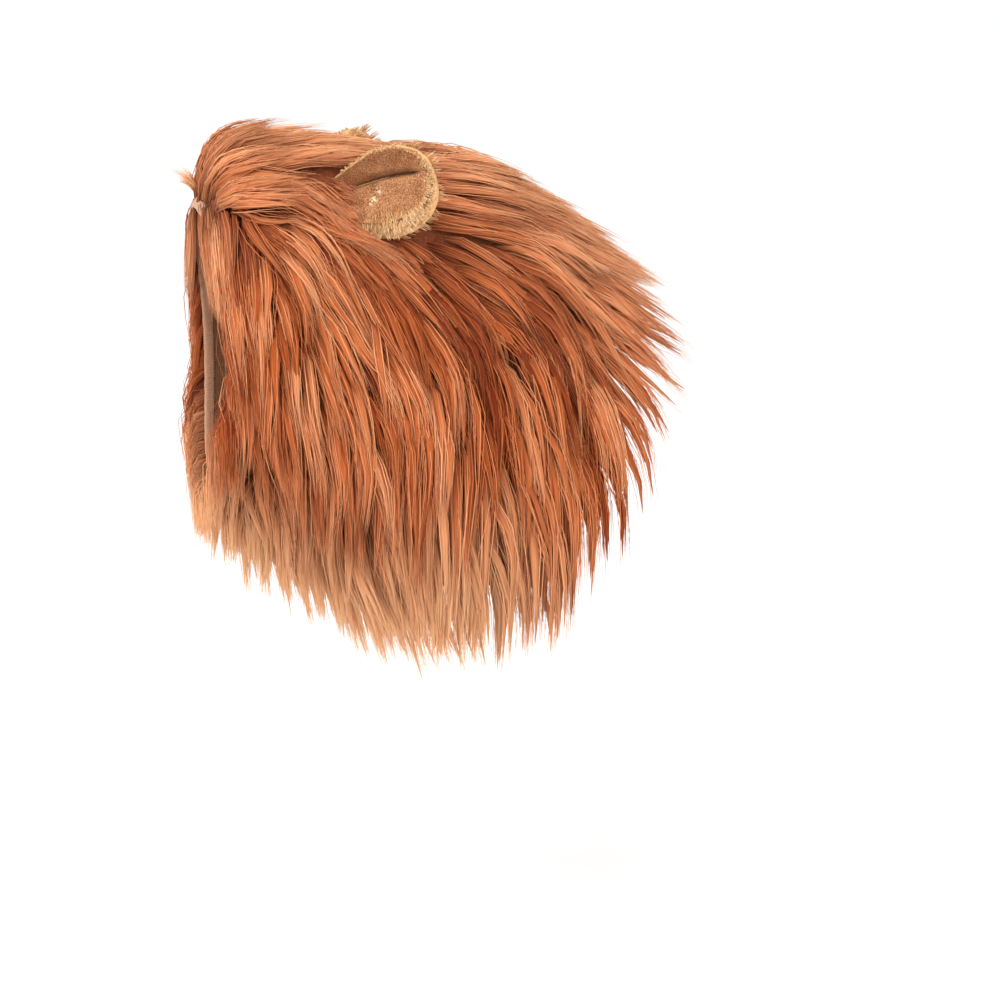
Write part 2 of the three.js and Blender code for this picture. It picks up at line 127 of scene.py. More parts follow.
# The shoulder's locks start at this station, the throat's at these angles before it and behind it.
SHOULDER_FROM = 0.62
THROAT_FROM = 100
THROAT_FROM_REAR = 110
FUR_NODES = {"crown": "crown_fur", "left": "left_mane_fur", "right": "right_mane_fur"}

# The ears. Places on them run from base to tip, and across from the lower edge (-1) to the upper (1).
EAR_LENGTH = 78
EAR_WIDTH = 56
EAR_FACE_WALL = 1.8
EAR_BACK_WALL = 6
EAR_RIM_LOW = 12
EAR_RIM_HIGH = 3
EAR_CUP = 11
EAR_CREASE = 5
EAR_SEAT_SHARE = 0.405
EAR_ANGLE = 39
EAR_LEAN = (0.6, 0.74, 0.31)
EAR_FACING = (0.757, -0.649, 0.078)
EAR_SEAM_GAP = 0.35
# The face's fold lies this far above the middle at the base and comes down by the slant to the tip.
FOLD_AT_BASE = 0.47
FOLD_SLANT = 0.29
FOLD_LIP = 1.4
# The brush of long plush covers the face below this line, which falls away towards the tip.
BRUSH_AT_BASE = 0.27
BRUSH_SLANT = 0.77
RUBBED_SPOTS = ((0.37, 0.02), (0.3, -0.2), (0.26, -0.3))
# Hair may cover the ear up to this share of its length.
EAR_HAIR_LINE = 0.14
EAR_OUTLINE = {"at": (-0.14, 0.2, 0.45, 0.7, 0.87, 0.965, 1),
               "half": (0.5, 0.8, 1, 0.94, 0.7, 0.4, 0.12)}

# The picture, in degrees and metres: the camera's side and height, and how far right of and over the
# crown it aims.
VIEW_AZIMUTH = 75
VIEW_ELEVATION = 12
VIEW_RIGHT = 0.104
VIEW_UP = -0.274
LENS = 100
SENSOR = 36
FLOOR_HALF = 30
# Each lamp's place, size and share of the main light's power, and the spot that they light.
LAMPS = {"key_light": ((0.9, -1.3, 1.9), 1.4, 1.0), "fill_light": ((2.6, 1.2, 0.6), 1.8, 0.4)}
LIT_SPOT = (0, 0, -0.2)


def linear(code, alpha=1.0):
    """An sRGB hex colour as linear red, green, blue and alpha."""
    parts = [int(code[i:i + 2], 16) / 255 for i in (1, 3, 5)]
    return tuple(p / 12.92 if p <= 0.04045 else ((p + 0.055) / 1.055) ** 2.4 for p in parts) + (alpha,)


def plug(tree, node, inputs):
    """Fills a node's inputs. They are values, sockets or nodes, in order or by the socket's name or
    number, and a node stands for its first output."""
    for name, value in inputs.items() if isinstance(inputs, dict) else enumerate(inputs):
        if isinstance(value, bpy.types.Node):
            value = value.outputs[0]
        if isinstance(value, bpy.types.NodeSocket):
            tree.links.new(value, node.inputs[name])
        else:
            node.inputs[name].default_value = value
    return node


def add(tree, kind, inputs=(), **settings):
    """Adds one node with its settings and its inputs."""
    made = tree.nodes.new(kind)
    for name, value in settings.items():
        setattr(made, name, value)
    return plug(tree, made, inputs)


def grains(size):
    """Scale of a noise whose grains are this many millimetres apart."""
    return 1000 / size


def bands(size):
    """Scale of a wave whose bands are this many millimetres apart: it has 10 bands in each pi."""
    return 1000 / size * math.pi / 10


def distance(name, description, default):
    """A length setting, in metres."""
    return bpy.props.FloatProperty(
        name=name, description=description, default=default, subtype="DISTANCE", unit="LENGTH")


def whole(name, description, default):
    """A whole number setting."""
    return bpy.props.IntProperty(name=name, description=description, default=default)


def share(name, description, default):
    """A setting between 0 and 1."""
    return bpy.props.FloatProperty(
        name=name, description=description, default=default, min=0, max=1, subtype="FACTOR")


def tint(name, description, code):
    """A colour setting, from its sRGB hex code."""
    return bpy.props.FloatVectorProperty(
        name=name, description=description, default=linear(code), size=4, subtype="COLOR", min=0, max=1)


class CoatSettings(bpy.types.PropertyGroup):
    locks: whole("Locks", "Small locks all over the hood", 1700)
    gathers: whole("Gathers", "Big locks that the small ones lean into", 330)
    fibres: whole("Fibres", "Strands in each small lock", 8)
    spread: distance("Spread", "Half width of a small lock", 0.0058)
    depth: distance("Depth", "Half thickness of a small lock", 0.0036)
    gather: share("Gather", "How far a lock narrows to its tip", 0.45)
    wave: distance("Wave", "Height of the wave in a strand", 0.0016)
    fibre: distance("Fibre", "Radius of a strand", 0.00034)
    seed: whole("Seed", "Seed of everything random in the fur", 7)
    root: tint("Root", "Shaded root of the pile", "#762607")
    middle: tint("Middle", "Body of the pile", "#C96732")
    tip: tint("Tip", "Lightest locks of the pile", "#F2AA79")
    # Pale is painted light: the colour that the fringe, crown, jaw and tips are painted towards, where
    # light falls on them or shines through the thin ends.
    pale: tint("Pale", "Fringe, crown and jaw painted paler as light", "#FFC794")


class HoodSettings(bpy.types.PropertyGroup):
    backing: tint("Backing", "Knitted cloth under the fur", "#A9744F")
    hem: tint("Hem", "Turned edge of the cloth", "#D9A27C")
    thread: tint("Thread", "Sewing thread", "#C98F66")
    stitch: distance("Stitch", "Length of one stitch", 0.0032)


class EarSettings(bpy.types.PropertyGroup):
    velour: tint("Velour", "Face of the ear", "#B0764D")
    nap: tint("Nap", "Light ends of the face's loops", "#D39C70")
    plush: tint("Plush", "Back and rim of the ear", "#D8A067")
    cream: tint("Cream", "Cut ends of the plush", "#FFDDAE")
    brush: distance("Brush", "Length of the plush along the lower rim", 0.0108)
    pile: distance("Pile", "Length of the plush on the back", 0.008)
    tufts: whole("Tufts", "Tufts on each ear", 780)


class StageSettings(bpy.types.PropertyGroup):
    floor: distance("Floor", "Height of the floor below the crown", -0.663)
    away: distance("Away", "Distance of the camera", 2.22)
    key: bpy.props.FloatProperty(name="Key", description="Power of the main light in watts", default=38)
    sky: bpy.props.FloatProperty(name="Sky", description="Strength of the light all round", default=1.04)


def smooth_line(knots, place):
    """Points of a centripetal Catmull-Rom line through its knots, straight on past both ends."""
    def inside(where):
        spread_knots = np.vstack([2 * knots[0] - knots[1], knots, 2 * knots[-1] - knots[-2]])
        along = where * (len(knots) - 1)
        first = np.minimum(along.astype(int), len(knots) - 2)
        w = (along - first)[:, None]
        a, b, c, d = (spread_knots[first + i] for i in range(4))
        gap = lambda p, q: ((p - q) ** 2).sum(1)[:, None] ** 0.25
        ab, bc, cd = gap(a, b), gap(b, c), gap(c, d)
        start = ((b - a) / ab - (c - a) / (ab + bc) + (c - b) / bc) * bc
        end = ((c - b) / bc - (d - b) / (bc + cd) + (d - c) / cd) * bc
        return (b + start * w + (3 * c - 3 * b - 2 * start - end) * w ** 2
                + (2 * b - 2 * c + start + end) * w ** 3)
    held = np.clip(place, 0, 1)
    point = inside(held)
    inner = inside(np.where(place < 0.5, LINE_END_SHARE, 1 - LINE_END_SHARE))
    return point + (point - inner) * (np.abs(place - held) / LINE_END_SHARE)[:, None]


def knots_of(first, along, up, scale):
    """Knots of one of the hood's lines in millimetres: a width, and the place along and up."""
    return np.stack([np.array(RINGS[first]) * scale, np.array(RINGS[along]) * HOOD_LENGTH,
                     np.array(RINGS[up]) * HOOD_DROP], 1)


TOP_LINE = knots_of("half", "top_along", "top_up", HOOD_HALF_WIDTH)
LOW_LINE = knots_of("bow", "low_along", "low_up", HOOD_LENGTH)


def hood_point(station, angle, lift):
    """Points of the hood in millimetres: station runs from face to neck, angle in degrees from the top
    towards the wearer's left, lift is the height over the inside of the cloth."""
    station, angle, lift = (np.atleast_1d(np.asarray(v, float)) for v in (station, angle, lift))
    station, angle, lift = np.broadcast_arrays(station, angle, lift)
    top, low = smooth_line(TOP_LINE, station), smooth_line(LOW_LINE, station)
    half, bow = top[:, 0].copy(), low[:, 0].copy()
    top[:, 0] = low[:, 0] = 0
    up = (top - low) / 2
    centre = (top + low) / 2
    radius = np.linalg.norm(up, axis=1)
    up /= radius[:, None]
    rearward = np.stack([np.zeros(len(up)), up[:, 2], -up[:, 1]], 1)
    sine, cosine = np.sin(np.radians(angle)), np.cos(np.radians(angle))
    point = centre + up * ((radius + lift) * cosine)[:, None] + rearward * (bow * sine ** 2)[:, None]
    point[:, 0] += (half + lift) * sine
    return point


def unit(v):
    """The same directions, one long."""
    return v / np.maximum(np.linalg.norm(v, axis=-1, keepdims=True), 1e-9)


def dot(a, b):
    """Scalar products, with their last axis kept."""
    return (a * b).sum(-1, keepdims=True)


def hood_frame(station, angle, lift):
    """How a point moves along the hood, round it and with its height, and the way straight out."""
    here = hood_point(station, angle, lift)
    rear = (hood_point(station + STATION_STEP, angle, lift) - here) / STATION_STEP
    round_ = (hood_point(station, angle + ANGLE_STEP, lift) - here) / ANGLE_STEP
    rise = hood_point(station, angle, lift + 1) - here
    return {"here": here, "rear": rear, "round": round_, "rise": rise, "out": unit(np.cross(round_, rear))}


def smoothstep(x, low, high):
    """0 up to low, 1 from high on, and a smooth rise between them."""
    t = np.clip((x - low) / (high - low), 0, 1)
    return t * t * (3 - 2 * t)


def chin_at(station, angle):
    """1 under the chin, fading up the cheeks and towards the neck."""
    return smoothstep(np.abs(angle), 100, 150) * np.exp(-((station / 0.42) ** 2))


def loft_at(station, angle):
    """How high the hair stands off the pile before it lies back."""
    loft = CROWN_LOFT + (SIDE_LOFT - CROWN_LOFT) * np.minimum(np.sin(np.radians(angle / 2)) ** 2 * 2, 1)
    forehead = np.exp(-((station / 0.22) ** 2)) * np.maximum(0, np.cos(np.radians(angle))) ** 2
    return loft + (FOREHEAD_LOFT - loft) * forehead


def coat_height(station, angle):
    """How high the outer hair stands off the pile: it bulges over the forehead and lies close by the
    ears and at the middle of the face hem."""
    round_ = np.abs(angle)
    height = loft_at(station, angle) + LOCK_THICKNESS / 2 - 1
    forehead = np.exp(-(((station - 0.2) / 0.13) ** 2)) * np.exp(-((angle / 50) ** 2))
    ears = np.exp(-(((station - 0.4) / 0.12) ** 2)) * smoothstep(-round_, -70, -50)
    edge = np.exp(-((station / 0.08) ** 2)) * np.exp(-((angle / 45) ** 2))
    return (height + 2 * forehead) * (1 - EAR_PARTING * ears) * (1 - 0.3 * edge)


def hair_flow(point, angle):
    """The way that the hair is combed at a point, fanned out from the middle of the forehead."""
    focus_y, focus_z = RINGS["top_along"][0] * HOOD_LENGTH, RINGS["top_up"][0] * HOOD_DROP
    fan = np.arctan2(np.maximum(focus_z - point[:, 2], 0), np.maximum(point[:, 1] - focus_y, 1))
    level = np.maximum(0, 1 - fan / (math.pi / 2)) ** 1.5
    fall = SIDE_FALL * np.sin(np.radians(angle)) ** 2 * level
    slope = fan + np.radians(FLOW_BEND * np.sin(2 * fan) + fall)
    return np.stack([np.zeros(len(slope)), np.cos(slope), -np.sin(slope)], 1)


def comb(station, angle, length, loft, lean, curl, sway, phase, forward):
    """Lines that locks follow from their roots, in millimetres, with the way out of the hood at each
    point. lean is in degrees to one side, curl in degrees more of it by the tip, sway in degrees of a
    wave that starts at its phase, and forward in millimetres towards the face before the hair falls."""
    station, angle = station.astype(float).copy(), angle.astype(float).copy()
    lift = CLOTH_WALL + np.where(station < -0.01, 1.2, PILE_MAT * 0.5)
    at = hood_frame(station, angle, lift)
    here = at["here"].copy()
    step = (length / STEPS)[:, None]
    flare = (CHIN_FLARE * chin_at(station, angle) + forward) / (LOCK_RISE_SHARE * length)
    lines, outs = [], []
    for k in range(STEPS + 1):
        rising = max(0.0, 2 - 2 * (k + 0.5) / (LOCK_RISE_SHARE * STEPS))
        flow = hair_flow(here, angle)
        turn = np.radians(lean + curl * k / STEPS + sway * np.sin(k / STEPS * SWAY_TURN + phase))[:, None]
        out = at["out"]
        upright = out * dot(out, flow)
        flow = flow * np.cos(turn) + np.cross(out, flow) * np.sin(turn) + upright * (1 - np.cos(turn))
        flow[:, 1] -= flare * rising
        leaving = dot(flow, out)
        lying = np.maximum(leaving, 0) * (1 - 0.92 * np.maximum(out[:, 2:], 0))
        climbing = (rising * loft / (LOCK_RISE_SHARE * length))[:, None]
        heading = flow + out * (np.maximum(lying, climbing) - leaving)
        heading[:, 1] = np.maximum(heading[:, 1], -np.maximum(flare * rising, 0.02))
        heading = unit(heading)
        lines.append(here.copy())
        outs.append(out.copy())
        here = here + heading * step
        moving = (station > -HEM_WIDTH / HOOD_LENGTH) & (station < 1)
        across = np.cross(at["round"], at["rise"])
        reach = step / dot(at["rear"], across)
        moved = heading * reach
        station = np.where(moving, station + dot(moved, across)[:, 0], station)
        angle = np.where(moving, angle + dot(moved, np.cross(at["rise"], at["rear"]))[:, 0], angle)
        lift = np.where(moving, lift + dot(moved, np.cross(at["rear"], at["round"]))[:, 0], lift)
        fresh = hood_frame(station, angle, lift)
        at = {key: np.where(moving[:, None], fresh[key], at[key]) for key in at}
    return np.stack(lines, 1), np.stack(outs, 1)


def mesh_object(name, points, faces=(), edges=()):
    """A mesh object at the origin from points in millimetres."""
    mesh = bpy.data.meshes.new(name)
    mesh.from_pydata((np.asarray(points, float) * MM).tolist(), edges, faces)
    made = bpy.data.objects.new(name, mesh)
    bpy.context.scene.collection.objects.link(made)
    return made


def tell(made, name, values):
    """Stores a number at each point of a mesh, which its material or tree reads."""
    layer = made.data.attributes.new(name, "FLOAT", "POINT")
    layer.data.foreach_set("value", np.ravel(values))


def lay_cloth(made, places):
    """Stores where each point lies on the flat cloth, in metres, as the map that the knit follows."""
    corners = np.zeros(len(made.data.loops), int)
    made.data.loops.foreach_get("vertex_index", corners)
    layer = made.data.uv_layers.new(name="cloth")
    layer.data.foreach_set("uv", places.reshape(-1, 2)[corners].ravel())


def finish_mesh(made, material=None, is_smooth=True):
    """Gives a mesh its material and shades it smooth or flat."""
    mesh = made.data
    if material:
        mesh.materials.clear()
        mesh.materials.append(material)
    mesh.polygons.foreach_set("use_smooth", [is_smooth] * len(mesh.polygons))
    mesh.update()
    return made


def signed_volume(mesh):
    """Volume inside a closed mesh, below zero where its faces point inwards."""
    mesh.calc_loop_triangles()
    corners = np.zeros(len(mesh.vertices) * 3)
    mesh.vertices.foreach_get("co", corners)
    corners = corners.reshape(-1, 3)
    index = np.zeros(len(mesh.loop_triangles) * 3, int)
    mesh.loop_triangles.foreach_get("vertices", index)
    a, b, c = (corners[index.reshape(-1, 3)[:, i]] for i in range(3))
    return float((a * np.cross(b, c)).sum() / 6)


def face_outwards(made):
    """Turns a closed mesh whose faces point inwards."""
    if signed_volume(made.data) < 0:
        made.data.flip_normals()
    return made


def shell(name, outer, inner, is_ring=False, places=None):
    """A closed wall from two grids of points, row by row. A ring joins its last column to its first, and
    places are those of the points on the flat cloth."""
    rows, columns = outer.shape[:2]
    index = np.arange(2 * rows * columns).reshape(2, rows, columns)
    if is_ring:
        index = np.concatenate([index, index[:, :, :1]], 2)
    quads = []
    for side in range(2):
        a, b = index[side, :-1, :-1], index[side, :-1, 1:]
        c, d = index[side, 1:, 1:], index[side, 1:, :-1]
        order = (a, b, c, d) if side == 0 else (a, d, c, b)
        quads.append(np.stack(order, -1).reshape(-1, 4))
    for row, flip in ((0, False), (-1, True)):
        a, b = index[0, row, :-1], index[0, row, 1:]
        c, d = index[1, row, 1:], index[1, row, :-1]
        quads.append(np.stack((a, b, c, d) if flip else (a, d, c, b), -1))
    if not is_ring:
        for column, flip in ((0, True), (-1, False)):
            a, b = index[0, :-1, column], index[0, 1:, column]
            c, d = index[1, 1:, column], index[1, :-1, column]
            quads.append(np.stack((a, b, c, d) if flip else (a, d, c, b), -1))
    points = np.concatenate([outer.reshape(-1, 3), inner.reshape(-1, 3)])
    made = mesh_object(name, points, np.concatenate(quads).tolist())
    if places is not None:
        lay_cloth(made, np.concatenate([places, places]))
    return face_outwards(made)


def bake_tree(made, tree, values):
    """The result of a geometry tree as a plain mesh. values maps an input's name to its value."""
    modifier = made.modifiers.new(tree.name, "NODES")
    modifier.node_group = tree
    for socket in tree.interface.items_tree:
        if socket.item_type == "SOCKET" and socket.in_out == "INPUT" and socket.name in values:
            modifier[socket.identifier] = values[socket.name]
    depsgraph = bpy.context.evaluated_depsgraph_get()
    mesh = bpy.data.meshes.new_from_object(made.evaluated_get(depsgraph), depsgraph=depsgraph)
    made.modifiers.remove(modifier)
    old = made.data
    made.data = mesh
    bpy.data.meshes.remove(old)
    mesh.name = made.name
    if not len(mesh.polygons):
        raise RuntimeError(f"{made.name} came out empty")
    return made


def new_tree(name, inputs):
    """A geometry tree with named inputs, each given as (name, socket kind, default)."""
    tree = bpy.data.node_groups.new(name, "GeometryNodeTree")
    tree.interface.new_socket("Geometry", in_out="INPUT", socket_type="NodeSocketGeometry")
    for label, kind, default in inputs:
        socket = tree.interface.new_socket(label, in_out="INPUT", socket_type=kind)
        if default is not None:
            socket.default_value = default
    tree.interface.new_socket("Geometry", in_out="OUTPUT", socket_type="NodeSocketGeometry")
    return tree, add(tree, "NodeGroupInput"), add(tree, "NodeGroupOutput")


ATTRIBUTE = "ShaderNodeAttribute"
MATH = "ShaderNodeMath"
MIX = "ShaderNodeMix"
NOISE = "ShaderNodeTexNoise"
RANGE = "ShaderNodeMapRange"
VECTORS = "ShaderNodeVectorMath"
WAVES = "ShaderNodeTexWave"
NAMED = "GeometryNodeInputNamedAttribute"
STORE = "GeometryNodeStoreNamedAttribute"


def strands_tree():
    """Turns each guide line into a lock of strands that opens from its root and gathers to its tip."""
    tree, start, end = new_tree("mane strands", [
        ("Strands", "NodeSocketInt", 9), ("Spread", "NodeSocketFloat", 0.005),
        ("Depth", "NodeSocketFloat", 0.004), ("Gather", "NodeSocketFloat", 0.6),
        ("Wave", "NodeSocketFloat", 0.001), ("Radius", "NodeSocketFloat", 0.0004),
        ("Shortest", "NodeSocketFloat", 0.8), ("Points", "NodeSocketInt", 6),
        ("Seed", "NodeSocketInt", 0), ("Material", "NodeSocketMaterial", None)])
    given = start.outputs
    curves = add(tree, "GeometryNodeMeshToCurve", (given["Geometry"],))
    copies = add(tree, "GeometryNodeDuplicateElements", {"Geometry": curves, "Amount": given["Strands"]},
                 domain="SPLINE")
    index = add(tree, "GeometryNodeInputIndex")
    chance = {}
    draws = (("end", given["Shortest"], 1.0), ("stray", 0.0, 1.0), ("side", -1.0, 1.0), ("up", -1.0, 1.0),
             ("turns", 2.0, 6.0), ("phase", 0.0, 6.283), ("tone", 0.0, 1.0), ("thick", 0.65, 1.3))
    for number, (name, low, high) in enumerate(draws):
        own = add(tree, MATH, (given["Seed"], 11.0 + number), operation="ADD")
        drawn = add(tree, "FunctionNodeRandomValue", {2: low, 3: high, 7: index, 8: own}, data_type="FLOAT")
        chance[name] = add(tree, "GeometryNodeFieldOnDomain", (drawn.outputs[1],), domain="CURVE",
                           data_type="FLOAT")
    trimmed = add(tree, "GeometryNodeTrimCurve", {"Curve": copies, "End": chance["end"]}, mode="FACTOR")
    even = add(tree, "GeometryNodeResampleCurve", {"Curve": trimmed, "Count": given["Points"]},
               mode="COUNT")
    along = add(tree, "GeometryNodeSplineParameter").outputs["Factor"]

    # Half width of the lock along its length, wider for a few strays
    narrowing = add(tree, RANGE, (along, 0.3, 1.0, 0.0, given["Gather"]), interpolation_type="SMOOTHSTEP")
    opening = add(tree, RANGE, (along, 0.0, 0.3, 0.5, 1.0), interpolation_type="SMOOTHSTEP")
    kept = add(tree, MATH, (1.0, narrowing), operation="SUBTRACT")
    rare = add(tree, MATH, (chance["stray"], 10.0), operation="POWER")
    loose = add(tree, MATH, (rare, 1.6, 1.0), operation="MULTIPLY_ADD")
    size = add(tree, NAMED, {"Name": "lock_size"}, data_type="FLOAT")
    width = add(tree, MATH, (kept, opening), operation="MULTIPLY")
    width = add(tree, MATH, (width, loose), operation="MULTIPLY")
    width = add(tree, MATH, (width, size), operation="MULTIPLY")

    # Place of the strand in the lock's oval section
    squared = add(tree, MATH, (chance["side"], chance["side"]), operation="MULTIPLY")
    oval = add(tree, MATH, (add(tree, MATH, (1.0, squared), operation="SUBTRACT"), 0.5), operation="POWER")
    height = add(tree, MATH, (chance["up"], oval), operation="MULTIPLY")
    side_by = add(tree, MATH, (chance["side"], given["Spread"]), operation="MULTIPLY")
    up_by = add(tree, MATH, (height, given["Depth"]), operation="MULTIPLY")

    # A slow turn round the lock
    turned = add(tree, MATH, (along, chance["turns"], chance["phase"]), operation="MULTIPLY_ADD")
    reach = add(tree, MATH, (along, given["Wave"]), operation="MULTIPLY")
    offsets = []
    for name, place, wave in (("across", side_by, "SINE"), ("above", up_by, "COSINE")):
        swing = add(tree, MATH, (add(tree, MATH, (turned,), operation=wave), reach), operation="MULTIPLY")
        amount = add(tree, MATH, (place, width, swing), operation="MULTIPLY_ADD")
        way = add(tree, NAMED, {"Name": name}, data_type="FLOAT_VECTOR")
        offsets.append(add(tree, VECTORS, {0: way, "Scale": amount}, operation="SCALE"))
    offset = add(tree, VECTORS, offsets, operation="ADD")
    placed = add(tree, "GeometryNodeSetPosition", {"Geometry": even, "Offset": offset})

    # Painted light and shade: a strand that lies high in its lock is painted lighter, one deep inside it
    # darker
    lit = add(tree, MATH, (height, 0.2, 0.2), operation="MULTIPLY_ADD")
    tone = add(tree, MATH, (chance["tone"], 0.6, lit), operation="MULTIPLY_ADD")
    toned = add(tree, STORE, {"Geometry": placed, "Name": "strand_tone_and_depth_light", "Value": tone},
                data_type="FLOAT", domain="POINT")
    measured = add(tree, STORE, {"Geometry": toned, "Name": "root_to_tip", "Value": along},
                   data_type="FLOAT", domain="POINT")
    taper = add(tree, RANGE, (along, 0.45, 1.0, 1.0, 0.16), interpolation_type="SMOOTHSTEP")
    thick = add(tree, MATH, (taper, chance["thick"]), operation="MULTIPLY")
    thick = add(tree, MATH, (thick, given["Radius"]), operation="MULTIPLY")
    sized = add(tree, "GeometryNodeSetCurveRadius", {"Curve": measured, "Radius": thick})
    section = add(tree, "GeometryNodeCurvePrimitiveCircle", {"Resolution": 3, "Radius": 1.0}, mode="RADIUS")
    tubes = add(tree, "GeometryNodeCurveToMesh", {
        "Curve": sized, "Profile Curve": section, "Fill Caps": True,
        "Scale": add(tree, "GeometryNodeInputRadius")})
    real = add(tree, "GeometryNodeRealizeInstances", {"Geometry": tubes})
    painted = add(tree, "GeometryNodeSetMaterial", {"Geometry": real, "Material": given["Material"]})
    plug(tree, end, (painted,))
    return tree


def new_material(name):
    """An empty material with its node tree and its surface shader."""
    material = bpy.data.materials.new(name)
    material.use_nodes = True
    tree = material.node_tree
    return material, tree, tree.nodes["Principled BSDF"]


def darker(colour, factor):
    """The same colour, less of it."""
    return tuple(factor * part for part in colour[:3]) + (1.0,)


def pile_colour(tree, coat, told, strand):
    """Colour of the pile: every lock and strand has its own tone between russet and peach, with painted
    shade towards the root and painted light that makes it paler in the fringe and on the crown. told holds
    the sockets of the piece's attributes, strand the strand's own tone."""
    length = told["root_to_tip"]
    tone = add(tree, MATH, (length, 0.12), operation="MULTIPLY")
    tone = add(tree, MATH, (strand, 0.26, tone), operation="MULTIPLY_ADD")
    tone = add(tree, MATH, (told["lock_tone_and_shade"], 0.66, tone), operation="MULTIPLY_ADD")
    ramp = add(tree, "ShaderNodeValToRGB", (tone,))
    stops = ramp.color_ramp.elements
    stops[0].position, stops[0].color = 0.24, coat.root
    stops[1].position, stops[1].color = 0.8, coat.tip
    stops.new(0.52).color = coat.middle
    # Painted light: the pile is painted paler towards the tips, in the fringe, on the crown and at the jaw.
    tip_light_share = add(tree, RANGE, (length, 0.15, 0.7, 0.3, 0.95))
    pale = add(tree, MATH, (told["painted_pale_light"], tip_light_share), operation="MULTIPLY")
    base = add(tree, MIX, {0: pale, 6: ramp, 7: coat.pale}, data_type="RGBA").outputs[2]
    # Painted shade: the pile is multiplied darker towards the root, half as bright at the root itself.
    foot = add(tree, RANGE, (length, 0.0, 0.4, 0.5, 1.0))
    shade = add(tree, "ShaderNodeCombineColor", (foot, foot, foot))
    return add(tree, MIX, {0: 1.0, 6: base, 7: shade}, data_type="RGBA", blend_type="MULTIPLY").outputs[2]


def long_pile(coat):
    """Modacrylic long pile: smooth round fibres, heat set, so each strand has a soft long glint. Strands
    are drawn about 0.7 mm thick, coarser than the real 0.05 mm fibre, so that they show."""
    material, tree, surface = new_material("modacrylic_long_pile")
    told = {name: add(tree, ATTRIBUTE, attribute_name=name).outputs["Fac"]
            for name in ("root_to_tip", "lock_tone_and_shade", "strand_tone_and_depth_light", "painted_pale_light")}
    shown = pile_colour(tree, coat, told, told["strand_tone_and_depth_light"])
    plug(tree, surface, {"Base Color": shown, "Roughness": 0.55, "Specular IOR Level": 0.22})
    return material


def under_pile(coat):
    """The fine fibres inside each lock, too many to draw one by one: a soft mass streaked along its
    length, matt where the loose strands over it glint."""
    material, tree, surface = new_material("modacrylic_under_pile")
    told = {name: add(tree, ATTRIBUTE, attribute_name=name).outputs["Fac"]
            for name in ("root_to_tip", "lock_tone_and_shade", "round_lock", "painted_pale_light")}
    # Fibres 1 mm apart round a lock of about 25 mm, drawn coarser than the real 0.05 mm to show.
    turn = add(tree, MATH, (told["round_lock"], 25.0), operation="MULTIPLY")
    along = add(tree, MATH, (told["root_to_tip"], 3.0), operation="MULTIPLY")
    apart = add(tree, MATH, (told["lock_tone_and_shade"], 90.0), operation="MULTIPLY")
    place = add(tree, "ShaderNodeCombineXYZ", (turn, along, apart))
    streaks = add(tree, NOISE, {"Vector": place, "Scale": 1.0, "Detail": 1.5, "Roughness": 0.6})
    strand = add(tree, RANGE, (streaks, 0.3, 0.7, -0.1, 0.95))
    shown = pile_colour(tree, coat, told, strand)
    bump = add(tree, "ShaderNodeBump", {"Height": streaks, "Distance": 0.0012, "Strength": 0.8})
    plug(tree, surface, {"Base Color": shown, "Normal": bump, "Roughness": 0.7,
                         "Specular IOR Level": 0.15})
    return material


def pile_foot(coat):
    """Foot of the pile, a dense mat of upright fibres: dark, rough and finely pitted. Its dark colour is
    partly the fibres' darker roots and partly painted shade, which shows in the gaps between the locks.
    """
    material, tree, surface = new_material("modacrylic_pile_foot")
    place = add(tree, "ShaderNodeTexCoord").outputs["Object"]
    # Tufts about 2.5 mm apart.
    pits = add(tree, NOISE, {"Vector": place, "Scale": grains(2.5), "Detail": 3.0})
    # Partly painted shade: the mat is coloured far darker than the pile's own root and middle colours.
    mat = add(tree, MIX, {0: pits, 6: darker(coat.root, 0.4), 7: darker(coat.middle, 0.55)},
              data_type="RGBA").outputs[2]
    bump = add(tree, "ShaderNodeBump", {"Height": pits, "Distance": 0.002, "Strength": 1.0})
    plug(tree, surface, {"Base Color": mat, "Normal": bump, "Roughness": 0.9})
    return material


def knitted_backing(hood):
    """Warp-knitted polyester backing: fine wales with slack courses across them, matt."""
    material, tree, surface = new_material("warp_knit_backing")
    cloth = add(tree, "ShaderNodeUVMap", uv_map="cloth")
    # Wales 1.6 mm and courses 2.2 mm apart.
    wales = add(tree, WAVES, {"Vector": cloth, "Scale": bands(1.6), "Distortion": 1.2, "Detail": 1.0,
                              "Detail Scale": 2.0}, bands_direction="X").outputs["Fac"]
    courses = add(tree, WAVES, {"Vector": cloth, "Scale": bands(2.2), "Distortion": 2.0},
                  bands_direction="Y").outputs["Fac"]
    slack = add(tree, MATH, (courses, 0.5, 0.5), operation="MULTIPLY_ADD")
    knit = add(tree, MATH, (wales, slack), operation="MULTIPLY")
    blotch = add(tree, NOISE, {"Vector": cloth, "Scale": 30.0, "Detail": 3.0})
    worn = add(tree, MIX, {0: blotch, 6: darker(hood.backing, 0.85), 7: hood.backing},
               data_type="RGBA").outputs[2]
    # Painted shade: the cloth is coloured darker between the wales and the courses, in the knit's hollows.
    shown = add(tree, MIX, {0: knit, 6: darker(hood.backing, 0.55), 7: worn},
                data_type="RGBA").outputs[2]
    bump = add(tree, "ShaderNodeBump", {"Height": knit, "Distance": 0.0006, "Strength": 0.9})
    plug(tree, surface, {"Base Color": shown, "Normal": bump, "Roughness": 0.92,
                         "Specular IOR Level": 0.25, "Sheen Weight": 0.05, "Sheen Roughness": 0.6})
    return material


